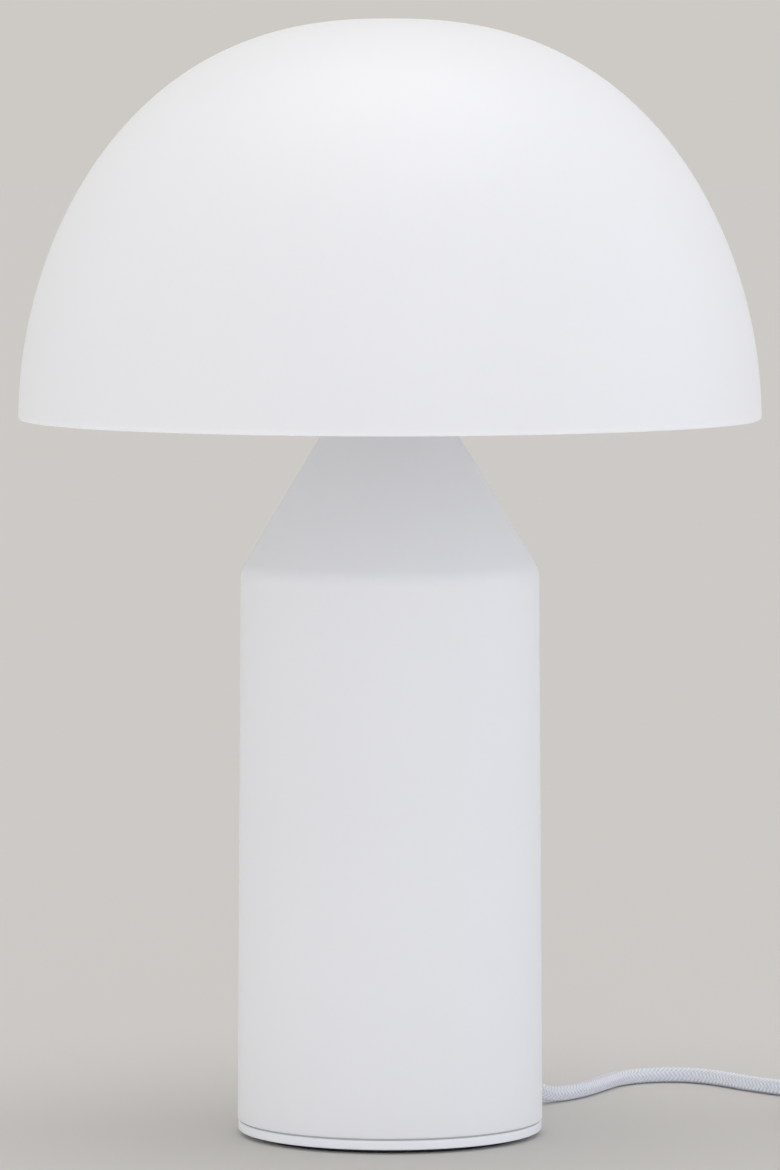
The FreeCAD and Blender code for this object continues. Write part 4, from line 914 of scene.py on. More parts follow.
@dataclass
class ShadeGlass:
    """The dome: one blown bell of opal glass, open below, with a fire-polished rim."""

    radius: float = 150.0
    height: float = 161.3
    wall: float = 4.0
    side_power: float = 2.365
    crown_power: float = 1.927
    rim_level: float = 290.7
    rim_round: float = 1.3
    height_steps: int = 84
    turn_steps: int = 240

    def skin(self, inset: float) -> Outline:
        """One side of the wall from rim to crown: a superellipse.

        Args:
            inset: How far it lies inside the outer side.

        Returns:
            Radius and level of each point.
        """
        points: Outline = []
        for i in range(self.height_steps + 1):
            slope = 0.5 * math.pi * i / self.height_steps
            across = math.cos(slope) ** (2 / self.side_power)
            up = math.sin(slope) ** (2 / self.crown_power)
            points.append(((self.radius - inset) * across,
                           self.rim_level + (self.height - inset) * up))
        return points

    def build(self) -> None:
        """Blow the dome and polish its rim."""
        outline = self.skin(0.0) + self.skin(self.wall)[::-1]
        piece = turned_piece("shade_glass", outline, OPAL_GLASS, steps=self.turn_steps)
        tidy_mesh(bevelled(piece, self.rim_round, 5))
        set_down(piece, OPAL_GLASS, "glass_shade", body=Body.SHADE)


def cord_notch(foot: float, half: float = 4.9, start: float = 37.0,
               end: float = 67.0) -> Piece:
    """Cutter of the arch that lets the cord's bushing out.

    Args:
        foot: Level of the arch's feet.
        half: Half its width.
        start: Where it starts along the cord's way out.
        end: Where it ends.

    Returns:
        The closed cutter.
    """
    steps = 16
    arch = [(math.cos(math.pi * i / steps) * half,
             CORD_HEIGHT + math.sin(math.pi * i / steps) * half) for i in range(steps + 1)]
    arch += [(-half, foot), (half, foot)]
    loops = [[along_cord(u, v, z) / MM for v, z in arch] for u in (start, end)]
    return lofted("notch_cutter", loops)


@dataclass
class BodyGlass:
    """The body: an upright glass tube that closes in a cone to a narrow neck."""

    foot_r: float = 61.9
    shoulder_r: float = 60.4
    foot_level: float = 6.3
    shoulder_level: float = 229.7
    neck_r: float = 20.0
    neck_level: float = 297.2
    cone_half_angle: float = 30.9
    wall: float = 4.2
    shoulder_round: float = 14.0
    edge_round: float = 1.2

    def outline(self) -> Outline:
        """Section of the wall.

        Returns:
            Radius and level of each point, up the outside and down the inside.
        """
        slant = self.wall / math.cos(math.radians(self.cone_half_angle))
        drop = (slant - self.wall) / math.tan(math.radians(self.cone_half_angle))
        inner_round = self.shoulder_round - self.wall
        return rounded([
            (self.foot_r, self.foot_level, 0.5 * self.edge_round),
            (self.shoulder_r, self.shoulder_level, self.shoulder_round),
            (self.neck_r, self.neck_level, self.edge_round),
            (self.neck_r - slant, self.neck_level, self.edge_round),
            (self.shoulder_r - self.wall, self.shoulder_level - drop, inner_round),
            (self.foot_r - self.wall, self.foot_level, self.edge_round),
        ], 10)

    def build(self) -> None:
        """Blow the body and cut the cord's notch."""
        piece = turned_piece("body_glass", self.outline(), OPAL_GLASS, steps=240)
        tidy_mesh(carved(piece, cord_notch(0.0)), False)
        set_down(piece, OPAL_GLASS, "glass_body")


@dataclass
class Foot:
    """What the glass stands on: plate, ballast, pad and seals."""

    seal_r: float = 61.4
    seal_inner: float = 55.6
    lip_r: float = 57.4
    seal_low: float = 5.8
    seal_high: float = 6.3
    lip_high: float = 9.8
    lip_edge: float = 0.3

    def seal(self) -> None:
        """The seal under the glass: flat, with a bead outside and a lip inside."""
        low, high, r = self.seal_low, self.seal_high, self.seal_r
        # Out along the plate, round the bead, in under the glass and up the lip.
        piece = turned_piece("body_seal", [
            (self.seal_inner, low), (r - 0.6, low), (r - 0.15, low - 0.05), (r, low + 0.25),
            (r - 0.1, high), (self.lip_r, high), (self.lip_r, self.lip_high - self.lip_edge),
            (self.lip_r - self.lip_edge, self.lip_high), (self.seal_inner, self.lip_high)], SEAL)
        tidy_mesh(carved(piece, cord_notch(high)), False)
        set_down(piece, SEAL, "body_gasket")

    def build(self) -> None:
        """Make the seal and finish the plate, the pad and the ballast."""
        self.seal()
        dress(POWDER_COAT, "base_plate")
        dress(FOOT_RUBBER, "foot_pad")
        dress(CAST_IRON, "ballast_ring")
        dress(ZINC, "ballast_screws", "fixing_screws")
        dress(SEAL, "neck_gasket")


@dataclass
class Carrier:
    """Tube, neck cap and the three-armed carrier on which the dome rests."""

    def build(self) -> None:
        """Finish the pieces of the carrier."""
        dress(POWDER_COAT, "neck_cap", "carrier_hub", "carrier_arms")
        dress(SOFT_TIP, "carrier_tips")
        dress(ZINC, "centre_tube", "tube_nuts", "tube_washers")


@dataclass
class Lampholder:
    """A screw lampholder on its nipple: cap, ribbed skirt, core, screw shell and contacts."""

    prefix: str
    radius: float
    cap_height: float
    height: float
    wall: float
    shell_r: float
    level: float
    x: float = 0.0
    y: float = 0.0
    ribs: int = 40
    rib_depth: float = 0.55
    plain_band: float = 4.0
    rib_end: float = 1.0
    shell_wall: float = 0.5
    clear: float = 0.2

    def skirt(self) -> Piece:
        """The skirt that the hand turns, with upright grip ribs.

        Returns:
            The skirt in its place.
        """
        r, inner, depth = self.radius, self.radius - self.wall, self.rib_depth
        bottom, top = self.level + self.cap_height, self.level + self.height
        low, high = bottom + self.plain_band, top - self.plain_band
        mouth = self.shell_r + self.shell_wall + self.clear
        outline = rounded([
            (inner, bottom), (r, bottom, 0.3), (r, low), (r, low + self.rib_end),
            (r, high - self.rib_end), (r, high), (r, top, 1.2), (mouth, top, 0.5),
            (mouth, top - 2.0), (inner, high)])
        margin = 0.5 * self.rib_end
        outline = [(x - depth, z, depth) if x > inner and low + margin < z < high - margin
                   else (x, z) for x, z in outline]
        piece = turned_piece(self.prefix + "_skirt", outline, HOLDER_MOULDING,
                             steps=8 * self.ribs, waves_round=self.ribs)
        return moved(piece, shift(self.x, self.y))

    def build(self) -> None:
        """Make the skirt and finish the rest."""
        node = self.prefix + "_holder"
        set_down(self.skirt(), HOLDER_MOULDING, node + "_skirt")
        dress(HOLDER_MOULDING, node + "_cap")
        dress(STEATITE, node + "_core")
        dress(BRASS, node + "_thread", node + "_contacts")


@dataclass
class Bulb:
    """A white bulb with a real screw thread rolled into its cap."""

    prefix: str
    body: Body
    level: float
    cap_r: float
    cap_height: float
    pitch: float
    x: float = 0.0
    y: float = 0.0
    tip_height: float = 2.2
    cone_height: float = 6.0
    rows: int = 60
    thread_share: float = 0.18
    thread_start: float = 0.3
    thread_end: float = 1.2

    def cap(self) -> Piece:
        """The cap's shell: an insulating cone below and the rolled thread above.

        Returns:
            The cap in its place.
        """
        depth = self.thread_share * self.pitch
        foot, top = self.level + self.tip_height, self.level + self.cap_height
        start = self.level + self.cone_height
        low, high = start + self.thread_start, top - self.thread_end
        outline: Outline = [(0.0, foot), (0.4 * self.cap_r, foot)]
        for i in range(self.rows + 1):
            z = start + (top - start) * i / self.rows
            fade = smooth_step((z - low) / self.pitch) * smooth_step((high - z) / self.pitch)
            outline.append((self.cap_r - depth, z, depth * fade))
        outline.append((0.0, top))
        piece = turned_piece(self.prefix + "_screw_cap", outline, CAP_ALUMINIUM, closed=False,
                             steps=96, waves_up=1 / self.pitch)
        return moved(piece, shift(self.x, self.y))

    def build(self) -> None:
        """Make the cap and finish the rest."""
        glass = "dome_bulb_globe" if self.body is Body.DOME_BULB else "body_bulb_tube"
        set_down(self.cap(), CAP_ALUMINIUM, self.prefix + "_cap", body=self.body)
        dress(COLLAR, self.prefix + "_collar")
        dress(BULB_GLASS, glass)
        dress(BRASS, self.prefix + "_contact")


@dataclass
class Wiring:
    """Terminal block, clamp and the wires inside the body."""

    wire_r: float = 0.9
    hole_level: float = 18.8
    near: float = 33.5
    far: float = 42.5
    pair: float = 1.1
    stack: float = 0.97
    dome_top: float = 332.2
    body_top: float = 45.2
    low_level: float = 15.2

    def routes(self) -> dict[str, list[list[Point]]]:
        """Where the wires run.

        Returns:
            For each CAD node its wires' control points, along and across the cord's way out.
        """
        p, z, near, far, low = self.pair, self.hole_level, self.near, self.far, self.low_level
        end, sheath, axis, inner, outer = 1.5, 38.0, CORD_HEIGHT, -33.0 + p, -33.0 - p
        up, down, slot = z + self.stack, z - self.stack, z + 18.5
        return {
            "supply_wires": [
                [(sheath, -p, axis), (29, -p, axis), (21, 12, 16.5), (19, 24, z - 0.4),
                 (13, near, z), (end, near, z)],
                [(sheath, p, axis), (33, p, axis), (30, 16, 17), (26, 32, z),
                 (15.5, far, z), (end, far, z)]],
            "riser_wires": [
                [(-end, near, up), (-15, near, up), (-20, 18, up - 0.3), (-16.5, 3, up + 1.2),
                 (0, p, slot), (0, p, self.dome_top)],
                [(-end, far, up), (-19, far, up), (-26, 20, up - 0.3), (-18.5, -p, up - 0.2),
                 (0, -p, slot), (0, -p, self.dome_top)]],
            "body_lamp_wires": [
                [(-end, near, down), (-13, near, down), (-19, 20, low), (-20, 0, low),
                 (-19, -20, low), (-12.5, inner + 0.4, low), (0, inner, low),
                 (0, inner, self.body_top)],
                [(-end, far, down), (-15, far, down), (-23, 24, low), (-24.2, 0, low),
                 (-22.5, -22, low), (-13.5, outer + 0.4, low), (0, outer, low),
                 (0, outer, self.body_top)]],
        }

    def build(self) -> None:
        """Run the wires and finish the fittings."""
        for node, routes in self.routes().items():
            placed = [[along_cord(*p) for p in route] for route in routes]
            curve = route_curve(node.replace("wires", "pair"), placed, self.wire_r, 3)
            set_down(tidy_mesh(applied(curve)), WIRE_SKIN, node)
        dress(NYLON, "terminal_block", "cord_clamp", "bushing_nut")
        dress(BRASS, "terminal_sleeves")
        dress(ZINC, "terminal_screws", "body_lamp_bracket", "body_holder_nipple")


@dataclass
class StrainRelief:
    """Bushing through the glass with a ribbed, tapered strain relief moulded on."""

    bore: float = 3.35
    barrel_r: float = 4.6
    barrel_start: float = 54.3
    flange_start: float = 62.2
    flange_r: float = 6.6
    root: float = 64.4
    tip: float = 85.0
    root_r: float = 5.2
    tip_r: float = 4.1
    grooves: int = 5
    groove_start: float = 1.6
    groove_width: float = 1.5
    groove_depth: float = 0.75
    groove_lean: float = 0.2
    plain_length: float = 3.0

    def outline(self) -> Outline:
        """Section along the cord: bore, barrel, flange and the grooved taper.

        Returns:
            Radius of each point and its way along the cord.
        """
        corners = [(self.bore, self.barrel_start), (self.barrel_r, self.barrel_start, 0.3),
                   (self.barrel_r, self.flange_start), (self.flange_r, self.flange_start, 0.4),
                   (self.flange_r, self.root, 0.9), (self.root_r, self.root, 0.5)]
        width, depth, lean = self.groove_width, self.groove_depth, self.groove_lean
        length = self.tip - self.root
        for i in range(self.grooves):
            start = self.groove_start + i * (length - self.plain_length) / self.grooves
            for place, dip in ((0.0, 0.0), (lean, depth), (width - lean, depth), (width, 0.0)):
                share = (start + place) / length
                radius = self.root_r + (self.tip_r - self.root_r) * share
                corners.append((radius - dip, self.root + start + place, GROOVE_ROUND))
        corners += [(self.tip_r, self.tip, 0.35), (self.bore, self.tip)]
        return rounded(corners, 3)

    def build(self) -> None:
        """Turn the bushing and lay it along the cord."""
        piece = turned_piece("cord_relief", self.outline(), MOULDED_WHITE, steps=72)
        moved(piece, shift(0, 0, CORD_HEIGHT) @ spin(CORD_AZIMUTH, "Z") @ spin(90, "Y"))
        set_down(piece, MOULDED_WHITE, "cord_bushing")


@dataclass
class CordSwitch:
    """In-line switch: two moulded shells, cord collars and a dished rocker."""

    x: float = 182.0
    y: float = 35.0
    lift: float = 0.1
    length: float = 62.0
    width: float = 27.0
    height: float = 17.0
    split: float = 8.5
    seam: float = 0.25
    wall: float = 2.0
    corner: float = 4.0
    corner_ease: float = 0.6
    rim: float = 1.5
    rim_steps: int = 6
    bore: float = 3.35
    post_x: float = 7.5
    post_y: float = 22.0
    well_r: float = 2.7
    well_depth: float = 1.6
    rocker_length: float = 20.0
    rocker_width: float = 12.6
    pivot: float = 13.4
    tilt: float = 7.0
    rocker_low: float = -2.6
    rocker_top: float = 3.4
    side_gap: float = 0.4
    end_gap: float = 0.8
    edge: float = 0.25
    dish: float = 1.55
    grip_bars: tuple[float, ...] = (4.6, 6.2, 7.8)
    grip_height: float = 0.36
    grip_half: float = 0.5

    def shell(self, name: str, upper: bool) -> Piece:
        """One of the two hollow shells.

        Args:
            name: The piece's name.
            upper: The cover with the rocker's opening, or else the base.

        Returns:
            The carved shell in its place.
        """
        half_x, half_y = 0.5 * self.width, 0.5 * self.length
        levels = [(self.split, self.seam), (self.split + self.seam * (1 if upper else -1), 0.0)]
        for i in range(self.rim_steps + 1):
            a = 0.5 * math.pi * i / self.rim_steps
            rise = self.height - self.rim + self.rim * math.sin(a)
            levels.append((rise if upper else self.height - rise, self.rim * (1 - math.cos(a))))
        loops = []
        for level, inset in levels:
            ring = oblong(half_x - inset, half_y - inset, self.corner - self.corner_ease * inset)
            loops.append([(x, y, level) for x, y in ring])
        way = [[(x, y, self.split + z) for x, z in circle(self.bore)]
               for y in (-self.length, self.length)]
        cutters = [upright("cavity", oblong(half_x - self.wall, half_y - self.wall), self.wall,
                           self.height - self.wall), lofted("cord_way", way)]
        if upper:
            plan = oblong(0.5 * self.rocker_width + self.side_gap,
                          0.5 * self.rocker_length + self.end_gap, 1.0)
            cutters.append(upright("opening", plan, self.pivot - 2.0, self.height + 1.0))
        else:
            for side in (-1, 1):
                plan = circle(self.well_r, side * self.post_x, -side * self.post_y)
                cutters.append(upright("screw_well", plan, -1.0, self.well_depth))
        piece = bevelled(carved(lofted(name, loops), *cutters), self.edge, angle=50.0)
        tidy_mesh(piece, False)
        # Wide flat faces set the shading of the small roundings beside them.
        piece.modifiers.new("even shading", "WEIGHTED_NORMAL").keep_sharp = True
        return moved(applied(piece), shift(self.x, self.y, self.lift))

    def collar(self, name: str, side: int) -> Piece:
        """Short ribbed collar where the cord enters the switch.

        Args:
            name: The piece's name.
            side: Which end of the switch, as -1 or 1 along Y.

        Returns:
            The collar in its place.
        """
        flange, root, tip, inside, length = 5.4, 5.0, 4.0, -2.0, 9.5
        first, pitch, depth, taper = 1.5, 2.4, 0.6, 0.1
        corners = [(self.bore, inside), (flange, inside), (flange, 0.0), (root, 0.0, 0.3)]
        for i in range(3):
            at = first + pitch * i
            radius = root - 0.05 - taper * at
            corners += groove(at, (0.0, 0.15, 1.15, 1.3),
                              (radius, radius - depth, radius - depth, radius - taper))
        corners += [(tip, length, 0.4), (self.bore, length)]
        piece = turned_piece(name, rounded(corners, 3), MOULDED_WHITE, steps=64)
        end = shift(self.x, self.y + side * 0.5 * self.length, self.split + self.lift)
        return moved(piece, end @ spin(-90 * side, "X"))

    def rocker(self) -> Piece:
        """The rocker: dished along its length, with three grip bars at one end.

        Returns:
            The rocker, tilted on its pin.
        """
        half, steps = 0.5 * self.rocker_length, 100
        view = []
        for i in range(steps + 1):
            y = half - self.rocker_length * i / steps
            rise = self.rocker_top + self.dish * (abs(y) / half) ** 2
            for bar in self.grip_bars:
                off = min(abs(y - bar) / self.grip_half, 1.0)
                rise += self.grip_height * math.cos(0.5 * math.pi * off)
            view.append((y, rise))
        view += [(-half, self.rocker_low), (half, self.rocker_low)]
        loops = [[(side * 0.5 * self.rocker_width, y, z) for y, z in view] for side in (-1, 1)]
        piece = tidy_mesh(bevelled(lofted("switch_rocker_key", loops), 0.5, 3), False)
        return moved(piece, shift(self.x, self.y, self.pivot + self.lift) @ spin(self.tilt, "X"))

    def build(self) -> list[Piece]:
        """Make the switch.

        Returns:
            Its pieces.
        """
        made = [
            set_down(self.shell("switch_lower_shell", False), MOULDED_WHITE, "switch_base"),
            set_down(self.shell("switch_upper_shell", True), MOULDED_WHITE, "switch_cover"),
            set_down(self.collar("switch_collar_lamp_side", 1), MOULDED_WHITE),
            set_down(self.collar("switch_collar_plug_side", -1), MOULDED_WHITE),
            set_down(self.rocker(), MOULDED_WHITE, "switch_rocker", body=Body.ROCKER),
        ]
        dress(ZINC, "switch_pin", "switch_screws")
        dress(BRASS, "switch_terminals")
        return made


@dataclass
class Plug:
    """Flat two-pin mains plug with a grooved tail and finger grips."""

    x: float = 262.6
    y: float = -6.0
    heading: float = 98.0
    axis: float = 6.95
    relief: float = 22.0
    length: float = 35.0
    shoulder: float = 12.0
    rear_width: float = 16.0
    width: float = 35.3
    thickness: float = 13.7
    corner: float = 3.6
    edge: float = 2.4
    bore: float = 3.3
    tail_r: float = 4.4
    tail_end_r: float = 6.1
    grip_grooves: tuple[float, ...] = (15.0, 18.0, 21.0, 24.0)
    grip_depth: float = 0.6
    grip_half: float = 0.9
    pin_r: float = 2.0
    sleeve_skin: float = 0.12
    pin_length: float = 19.0
    pin_spacing: float = 19.0
    sleeve_length: float = 10.0

    def laid(self, piece: Piece, side: int = 0, front: float = 0.0) -> Piece:
        """Lay an upright turned piece down along the plug.

        Args:
            piece: The piece.
            side: The pin that it belongs to, as -1 or 1, or 0 for the middle.
            front: How far along the plug its foot lies.

        Returns:
            The piece in its place.
        """
        return moved(piece, self.place() @ shift(side * 0.5 * self.pin_spacing, front)
                     @ spin(-90, "X"))

    def place(self) -> Matrix:
        """From a plug drawn along +Y from its cord end to where it lies."""
        return shift(self.x, self.y, self.axis) @ spin(self.heading - 90, "Z")

    def housing(self) -> Piece:
        """The flat body: round shoulders, four grip grooves and soft front edges.

        Returns:
            The body in its place.
        """
        rows, loops = 70, []
        for i in range(rows + 1):
            at = self.length * i / rows
            swell = min(at / self.shoulder, 1.0)
            swell = 0.5 * (smooth_step(swell) + swell)
            half = 0.5 * (self.rear_width + (self.width - self.rear_width) * swell)
            inset = 0.0
            for end in (at, self.length - at):
                left = max(self.edge - end, 0.0)
                inset = max(inset, self.edge - math.sqrt(self.edge ** 2 - left ** 2))
            for middle in self.grip_grooves:
                inset += self.grip_depth * max(0.0, 1 - abs(at - middle) / self.grip_half)
            ring = oblong(half - inset, 0.5 * self.thickness - inset, self.corner, 7)
            loops.append([(x, self.relief + at, z) for x, z in ring])
        return moved(lofted("plug_housing", loops), self.place())

    def tail(self) -> Piece:
        """The grooved strain relief that carries the cord into the plug.

        Returns:
            The tail in its place.
        """
        first, pitch, depth, widening, inside = 2.0, 3.1, 0.8, 0.1, 1.5
        corners = [(self.bore, 0.0), (self.tail_r, 0.0, 0.4)]
        for i in range(6):
            at = first + pitch * i
            radius = self.tail_r + (self.tail_end_r - self.tail_r) * at / self.relief
            corners += groove(at, (0.0, 0.2, 1.3, 1.5),
                              (radius, radius - depth, radius - depth, radius + widening))
        corners += [(self.tail_end_r, self.relief + inside), (self.bore, self.relief + inside)]
        return self.laid(turned_piece("plug_tail", rounded(corners, 3), MOULDED_WHITE, steps=64))

    def pins(self, name: str, finish: Finish, radius: float, ends: tuple[float, float],
             tip: float) -> Piece:
        """A pair of round bars on the pins' axes.

        Args:
            name: The piece's name.
            finish: Its surface.
            radius: Of each bar.
            ends: Where the bars start and end, from the plug's front.
            tip: Rounding of the free end.

        Returns:
            Both bars as one piece, in their place.
        """
        low, high = ends
        outline = rounded([(0.0, low), (radius, low, 0.2), (radius, high, tip), (0.0, high)])
        return joined(name, [
            self.laid(turned_piece(f"{name}_{side}", outline, finish, closed=False, steps=40),
                      side, self.relief + self.length) for side in (-1, 1)])

    def build(self) -> list[Piece]:
        """Make the plug.

        Returns:
            Its pieces.
        """
        pins = self.pins("plug_pin_pair", NICKEL, self.pin_r - self.sleeve_skin,
                         ends=(-6.0, self.pin_length), tip=1.2)
        sleeves = self.pins("plug_pin_sleeves", MOULDED_WHITE, self.pin_r,
                            ends=(-1.0, self.sleeve_length), tip=0.15)
        return [set_down(self.housing(), MOULDED_WHITE, "plug_body"),
                set_down(self.tail(), MOULDED_WHITE),
                set_down(pins, NICKEL, "plug_pins"), set_down(sleeves, MOULDED_WHITE)]


@dataclass
class CoilTie:
    """Tape that holds the coil's turns together, with its end lapped over on top."""

    x: float = 222.0
    y: float = -60.0
    inner_r: float = 25.3
    outer_r: float = 49.95
    low: float = 1.15
    high: float = 15.15
    corner: float = 2.2
    thickness: float = 0.95
    width: float = 11.0
    lap: float = 14.0
    across: int = 4

    def line(self) -> list[Vector]:
        """The tape's way round the turns.

        Returns:
            Points in Y and level.
        """
        loop = rounded([(-self.outer_r, self.high, self.corner),
                        (-self.outer_r, self.low, self.corner),
                        (-self.inner_r, self.low, self.corner),
                        (-self.inner_r, self.high, self.corner)], 8)
        start = -0.5 * (self.outer_r + self.inner_r + self.lap)
        end, above = start + self.lap, self.high + self.thickness + 0.1
        return [Vector(p) for p in [
            (end, self.high), (start, self.high), *loop, (end + 2.0, self.high),
            (end, self.high + 0.5 * self.thickness), (end - 2.5, above), (start, above)]]

    def build(self) -> Piece:
        """Give the tape's line its width and thickness, and measure it for the weave.

        Returns:
            The tape.
        """
        rows, wide = self.line(), self.across + 1
        steps = [(b - a).length for a, b in zip(rows, rows[1:])]
        points, measure = [], []
        for row, run in zip(rows, accumulate(steps, initial=0.0)):
            for k in range(wide):
                off = (k / self.across - 0.5) * self.width
                points.append(Vector((self.x + off, self.y + row.x, row.y)) * MM)
                measure.append((off * MM, run * MM, 0.0))
        faces = [(a, a + 1, a + wide + 1, a + wide)
                 for a in range(len(points) - wide) if (a + 1) % wide]
        piece = mesh_piece("coil_strap", points, faces)
        tape = piece.data.attributes.new("tape", "FLOAT_VECTOR", "POINT")
        for item, place in zip(tape.data, measure):
            item.vector = place
        solid = piece.modifiers.new("thickness", "SOLIDIFY")
        solid.thickness, solid.offset = self.thickness * MM, 0.0
        piece = tidy_mesh(bevelled(applied(piece), 0.25), False)
        return set_down(piece, STRAP, "coil_tie")


@dataclass
class MainsCord:
    """The braided cord from the body through the switch and the coil to the plug."""

    diameter: float = 6.5
    sheath_r: float = 2.9
    braid_r: float = 2.97
    floor: float = 3.3
    clamp: float = 38.0
    relief_tip: float = 85.0
    switch_x: float = 182.0
    switch_level: float = 8.6
    switch_in: float = 61.0
    switch_out: float = 9.0
    coil_x: float = 222.0
    coil_y: float = -60.0
    coil_outer: float = 46.5
    coil_level: float = 4.6
    pitch: float = 7.1
    layer_turns: float = 2.5
    turn_points: int = 20
    strands: int = 8
    lay: float = 17.0
    strand_width: float = 1.66
    weave_depth: float = 0.14
    crown: float = 0.14
    strand_step: float = 0.5

    def lead(self) -> list[Point]:
        """From the strain relief over the table to the switch.

        Returns:
            Control points.
        """
        f, x, level = self.floor, self.switch_x, self.switch_level
        start = [tuple(along_cord(u, 0.0, CORD_HEIGHT) / MM)
                 for u in (self.relief_tip, self.relief_tip + 4.0)]
        return start + [
            (60.6, 77.4, 7.8), (65.0, 82.7, 4.3), (70.8, 89.0, f), (79.2, 99.2, f),
            (85.3, 111.0, f), (90.9, 124.0, f), (96.8, 136.4, f), (106.3, 145.4, f),
            (118.5, 149.2, f), (130.8, 146.2, f), (140.8, 137.2, f), (149.5, 125.0, f),
            (159.8, 113.0, f), (170.5, 102.0, f + 0.4), (178.6, 90.0, 6.2), (x, 77.0, level),
            (x, self.switch_in, level)]

    def tail(self) -> list[Point]:
        """From the switch down to the coil."""
        x, start, level = self.coil_x - self.coil_outer, self.switch_x, self.switch_level
        return [(start, self.switch_out, level), (start, -7.0, level), (180.3, -20.5, 6.9),
                (177.2, -33.0, self.coil_level), (x, -44.0, self.coil_level),
                (x, -53.5, self.coil_level)]

    def coil(self) -> list[Point]:
        """Two layers of turns, inwards below and outwards above.

        Returns:
            Control points.
        """
        points = []
        out = 1 / math.cos(math.pi / self.turn_points)
        total = 2 * self.layer_turns + 0.5
        inner = self.coil_outer - self.pitch * self.layer_turns
        for i in range(round(total * self.turn_points) + 1):
            turn = i / self.turn_points
            level = self.coil_level
            if turn <= self.layer_turns:
                radius = self.coil_outer - self.pitch * turn
            elif turn >= self.layer_turns + 0.5:
                radius = inner + self.pitch * (turn - self.layer_turns - 0.5)
                level += self.pitch
            else:
                s = 2 * (turn - self.layer_turns)
                radius = inner - 0.5 * self.pitch * (s - s * s)
                level += 0.5 * self.pitch * (1 - math.cos(math.pi * s))
            angle = math.pi + FULL_TURN * turn
            points.append((self.coil_x + out * radius * math.cos(angle),
                           self.coil_y + out * radius * math.sin(angle), level))
        return points

    def plug_end(self) -> list[Point]:
        """From the coil into the plug."""
        x, top = self.coil_x + self.coil_outer, self.coil_level + self.pitch
        return [(x, -53.5, top), (x, -43.5, top), (267.3, -32.0, 9.7), (265.0, -22.0, 7.4),
                (263.85, -14.91, 6.95), (262.6, -6.0, 6.95)]

    def braid(self, name: str, line: Sequence[Vector], start: float, end: float) -> Piece:
        """Braid the strands over one stretch of the cord.

        Args:
            name: The piece's name.
            line: Points down the middle of the cord, in metres.
            start: Where the stretch starts, in metres along the cord.
            end: Where it ends.

        Returns:
            The strands as one plain mesh.
        """
        tree = made_tree("braid", {
            "Start": 0.0, "End": 1.0, "Step": 0.0005, "Strands": 12, "Lay": 0.018,
            "Radius": 0.003, "Strand Width": 0.001, "Weave Depth": 0.0001, "Crown": 0.0001},
            BRAID)
        piece = grown(
            mesh_piece("cord_braid_" + name, line), tree, CORD_BRAID, start=start, end=end,
            step=self.strand_step * MM, strands=self.strands, lay=self.lay * MM,
            radius=self.braid_r * MM, strand_width=self.strand_width * MM,
            weave_depth=self.weave_depth * MM, crown=self.crown * MM)
        return set_down(piece, CORD_BRAID)

    def build(self) -> tuple[Piece, list[Piece], float]:
        """Lay the cord and braid it.

        Returns:
            The cord's curve, its braid pieces and its length in metres.
        """
        points = self.lead() + self.tail() + self.coil() + self.plug_end()
        core = route_curve("mains_cord", [[Vector(p) * MM for p in points]], self.sheath_r)
        line = route_line(core)
        runs = list(accumulate(((b - a).length for a, b in zip(line, line[1:])), initial=0.0))
        inside = [run for place, run in zip(line, runs)
                  if abs(place.x - self.switch_x * MM) < MM
                  and self.switch_out * MM < place.y < self.switch_in * MM]
        enters, leaves, total = min(inside), max(inside), runs[-1]
        third = (total - leaves) / 3
        spans = [("lead", 0.0, enters), ("tail", leaves, leaves + third),
                 ("coil", leaves + third, leaves + 2 * third),
                 ("end", leaves + 2 * third, total)]
        made = [self.braid(name, line, start, end) for name, start, end in spans]
        set_down(core, CORD_UNDERLAY_PAINTED_SHADE, "cord_lead", "cord_tail", "cord_coil", "cord_plug_end")
        return core, made, total

    def entry(self) -> None:
        """The cord's held end inside the body, from the clamp through the bushing."""
        end = self.relief_tip - 0.1
        route = [along_cord(u, 0.0, CORD_HEIGHT) for u in (self.clamp, 54.0, 70.0, end)]
        core = route_curve("cord_inner_end", [route], self.sheath_r)
        self.braid("inner", route_line(core), 0.0, (end - self.clamp) * MM)
        set_down(tidy_mesh(applied(core)), CORD_UNDERLAY_PAINTED_SHADE, "cord_entry")


# The node "seen" is one for the rays that show the picture ground, else zero.
SEEN = (
    ("ray", "ShaderNodeLightPath"),
    ("straight", "MAXIMUM", "ray:Is Camera Ray", "ray:Is Glossy Ray"),
    ("seen", "MAXIMUM", "straight", "ray:Is Transmission Ray"),
)


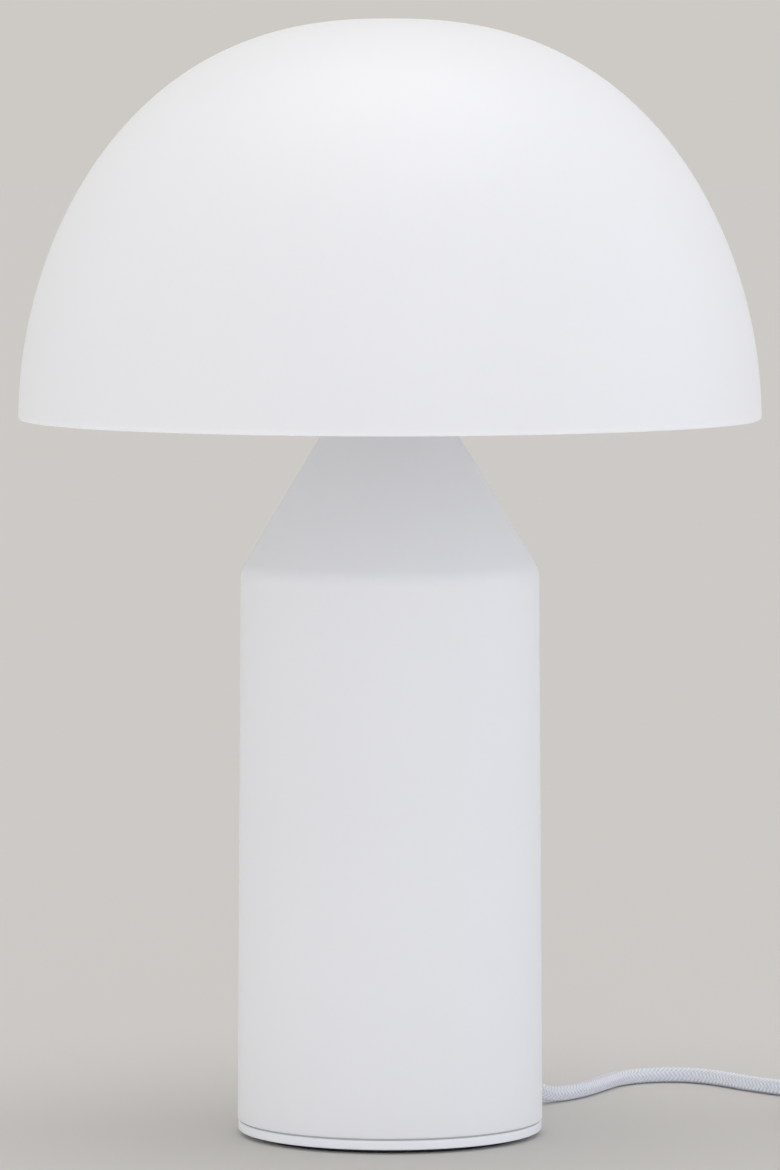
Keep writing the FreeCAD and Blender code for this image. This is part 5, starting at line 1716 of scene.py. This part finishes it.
@dataclass
class Studio:
    """White board under a plain pale picture ground, soft light and the photograph's camera."""

    floor_size: float = 60.0
    board: str = "F8F8F8"
    floor_colour: str = "CFCCC7"
    backdrop: str = "CDCAC5"
    sky: float = 0.65
    lamp_spread: float = 60.0
    camera_place: Point = (0.0, -2.890, 0.4224)
    camera_tilt: float = 86.06
    lens: float = 220.2
    sensor: float = 36.0

    def floor(self) -> None:
        """A large white board that throws light up under the dome and shows pale grey."""
        half = self.floor_size / 2
        piece = mesh_piece("studio_floor", [(-half, -half, 0), (half, -half, 0),
                                            (half, half, 0), (-half, half, 0)],
                           [(0, 1, 2, 3)])
        made = bpy.data.materials.new("matt_board")
        set_nodes(made, [
            *SEEN,
            ("colour", "ShaderNodeMix", "seen",
             {"data_type": "RGBA", 6: linear(self.board), 7: linear(self.floor_colour)}),
            ("shader", "ShaderNodeBsdfPrincipled",
             {"Roughness": 0.95, "Specular IOR Level": 0.1, "Base Color": "colour:2"}),
            ("output", "ShaderNodeOutputMaterial", "shader")])
        piece.data.materials.append(made)

    def light(self) -> None:
        """A wide soft lamp overhead, two weak cool ones low in front, and an even sky."""
        # Name, strength, colour, and degrees above the floor and round to the right.
        for name, strength, colour, height, side in (
                ("top_lamp", 0.92, "FFFFFF", 90.0, 0.0),
                ("front_lamp", 0.36, "E2E8FF", 8.0, 5.0),
                ("right_lamp", 0.36, "CCD8FF", 8.0, 90.0)):
            data = bpy.data.lights.new(name, "SUN")
            data.energy, data.angle = strength, math.radians(self.lamp_spread)
            data.color = linear(colour)[:3]
            in_scene(name, data).rotation_euler = (math.radians(90 - height), 0,
                                                   math.radians(side))
        world = bpy.data.worlds.new("studio")
        set_nodes(world, [
            *SEEN,
            ("sky", "ShaderNodeBackground", linear("FFFFFF"), self.sky),
            ("backdrop", "ShaderNodeBackground", linear(self.backdrop)),
            ("both", "ShaderNodeMixShader", "seen", "sky", "backdrop"),
            ("output", "ShaderNodeOutputWorld", "both")])
        bpy.context.scene.world = world

    def camera(self) -> None:
        """The photograph's viewing angle."""
        data = bpy.data.cameras.new("camera")
        data.lens, data.sensor_width = self.lens, self.sensor
        data.clip_start, data.clip_end = 0.05, 200.0
        camera = in_scene("camera", data)
        camera.location = self.camera_place
        camera.rotation_euler = (math.radians(self.camera_tilt), 0, 0)
        bpy.context.scene.camera = camera
        bpy.context.scene.view_settings.view_transform = "Standard"

    def build(self) -> None:
        """Set up floor, light and camera."""
        self.floor()
        self.light()
        self.camera()


def main() -> None:
    """Build the lamp from the foot up, then its cord, and the studio round it."""
    logging.basicConfig(level=logging.INFO, format="%(message)s")
    Studio().build()
    cord = MainsCord()
    core, braids, length = cord.build()
    cord.entry()
    switch = CordSwitch().build()
    plug = Plug().build()
    tie = CoilTie().build()
    beside_tube = {"x": 26.0, "y": -20.3}
    for part in (Foot(), BodyGlass(), Carrier(),
                 Lampholder("dome", radius=20.5, cap_height=20.0, height=52.0, wall=2.0,
                            shell_r=13.55, level=313.2),
                 Bulb("dome_bulb", Body.DOME_BULB, level=339.7, cap_r=13.25, cap_height=24.0,
                      pitch=3.6),
                 Lampholder("body", radius=14.0, cap_height=18.0, height=46.0, wall=1.6,
                            shell_r=7.25, level=28.2, ribs=30, **beside_tube),
                 Bulb("body_bulb", Body.BODY_BULB, level=52.7, cap_r=6.95, cap_height=20.0,
                      pitch=2.8, **beside_tube),
                 Wiring(), StrainRelief(), ShadeGlass()):
        part.build()


if __name__ == "__main__":
    main()
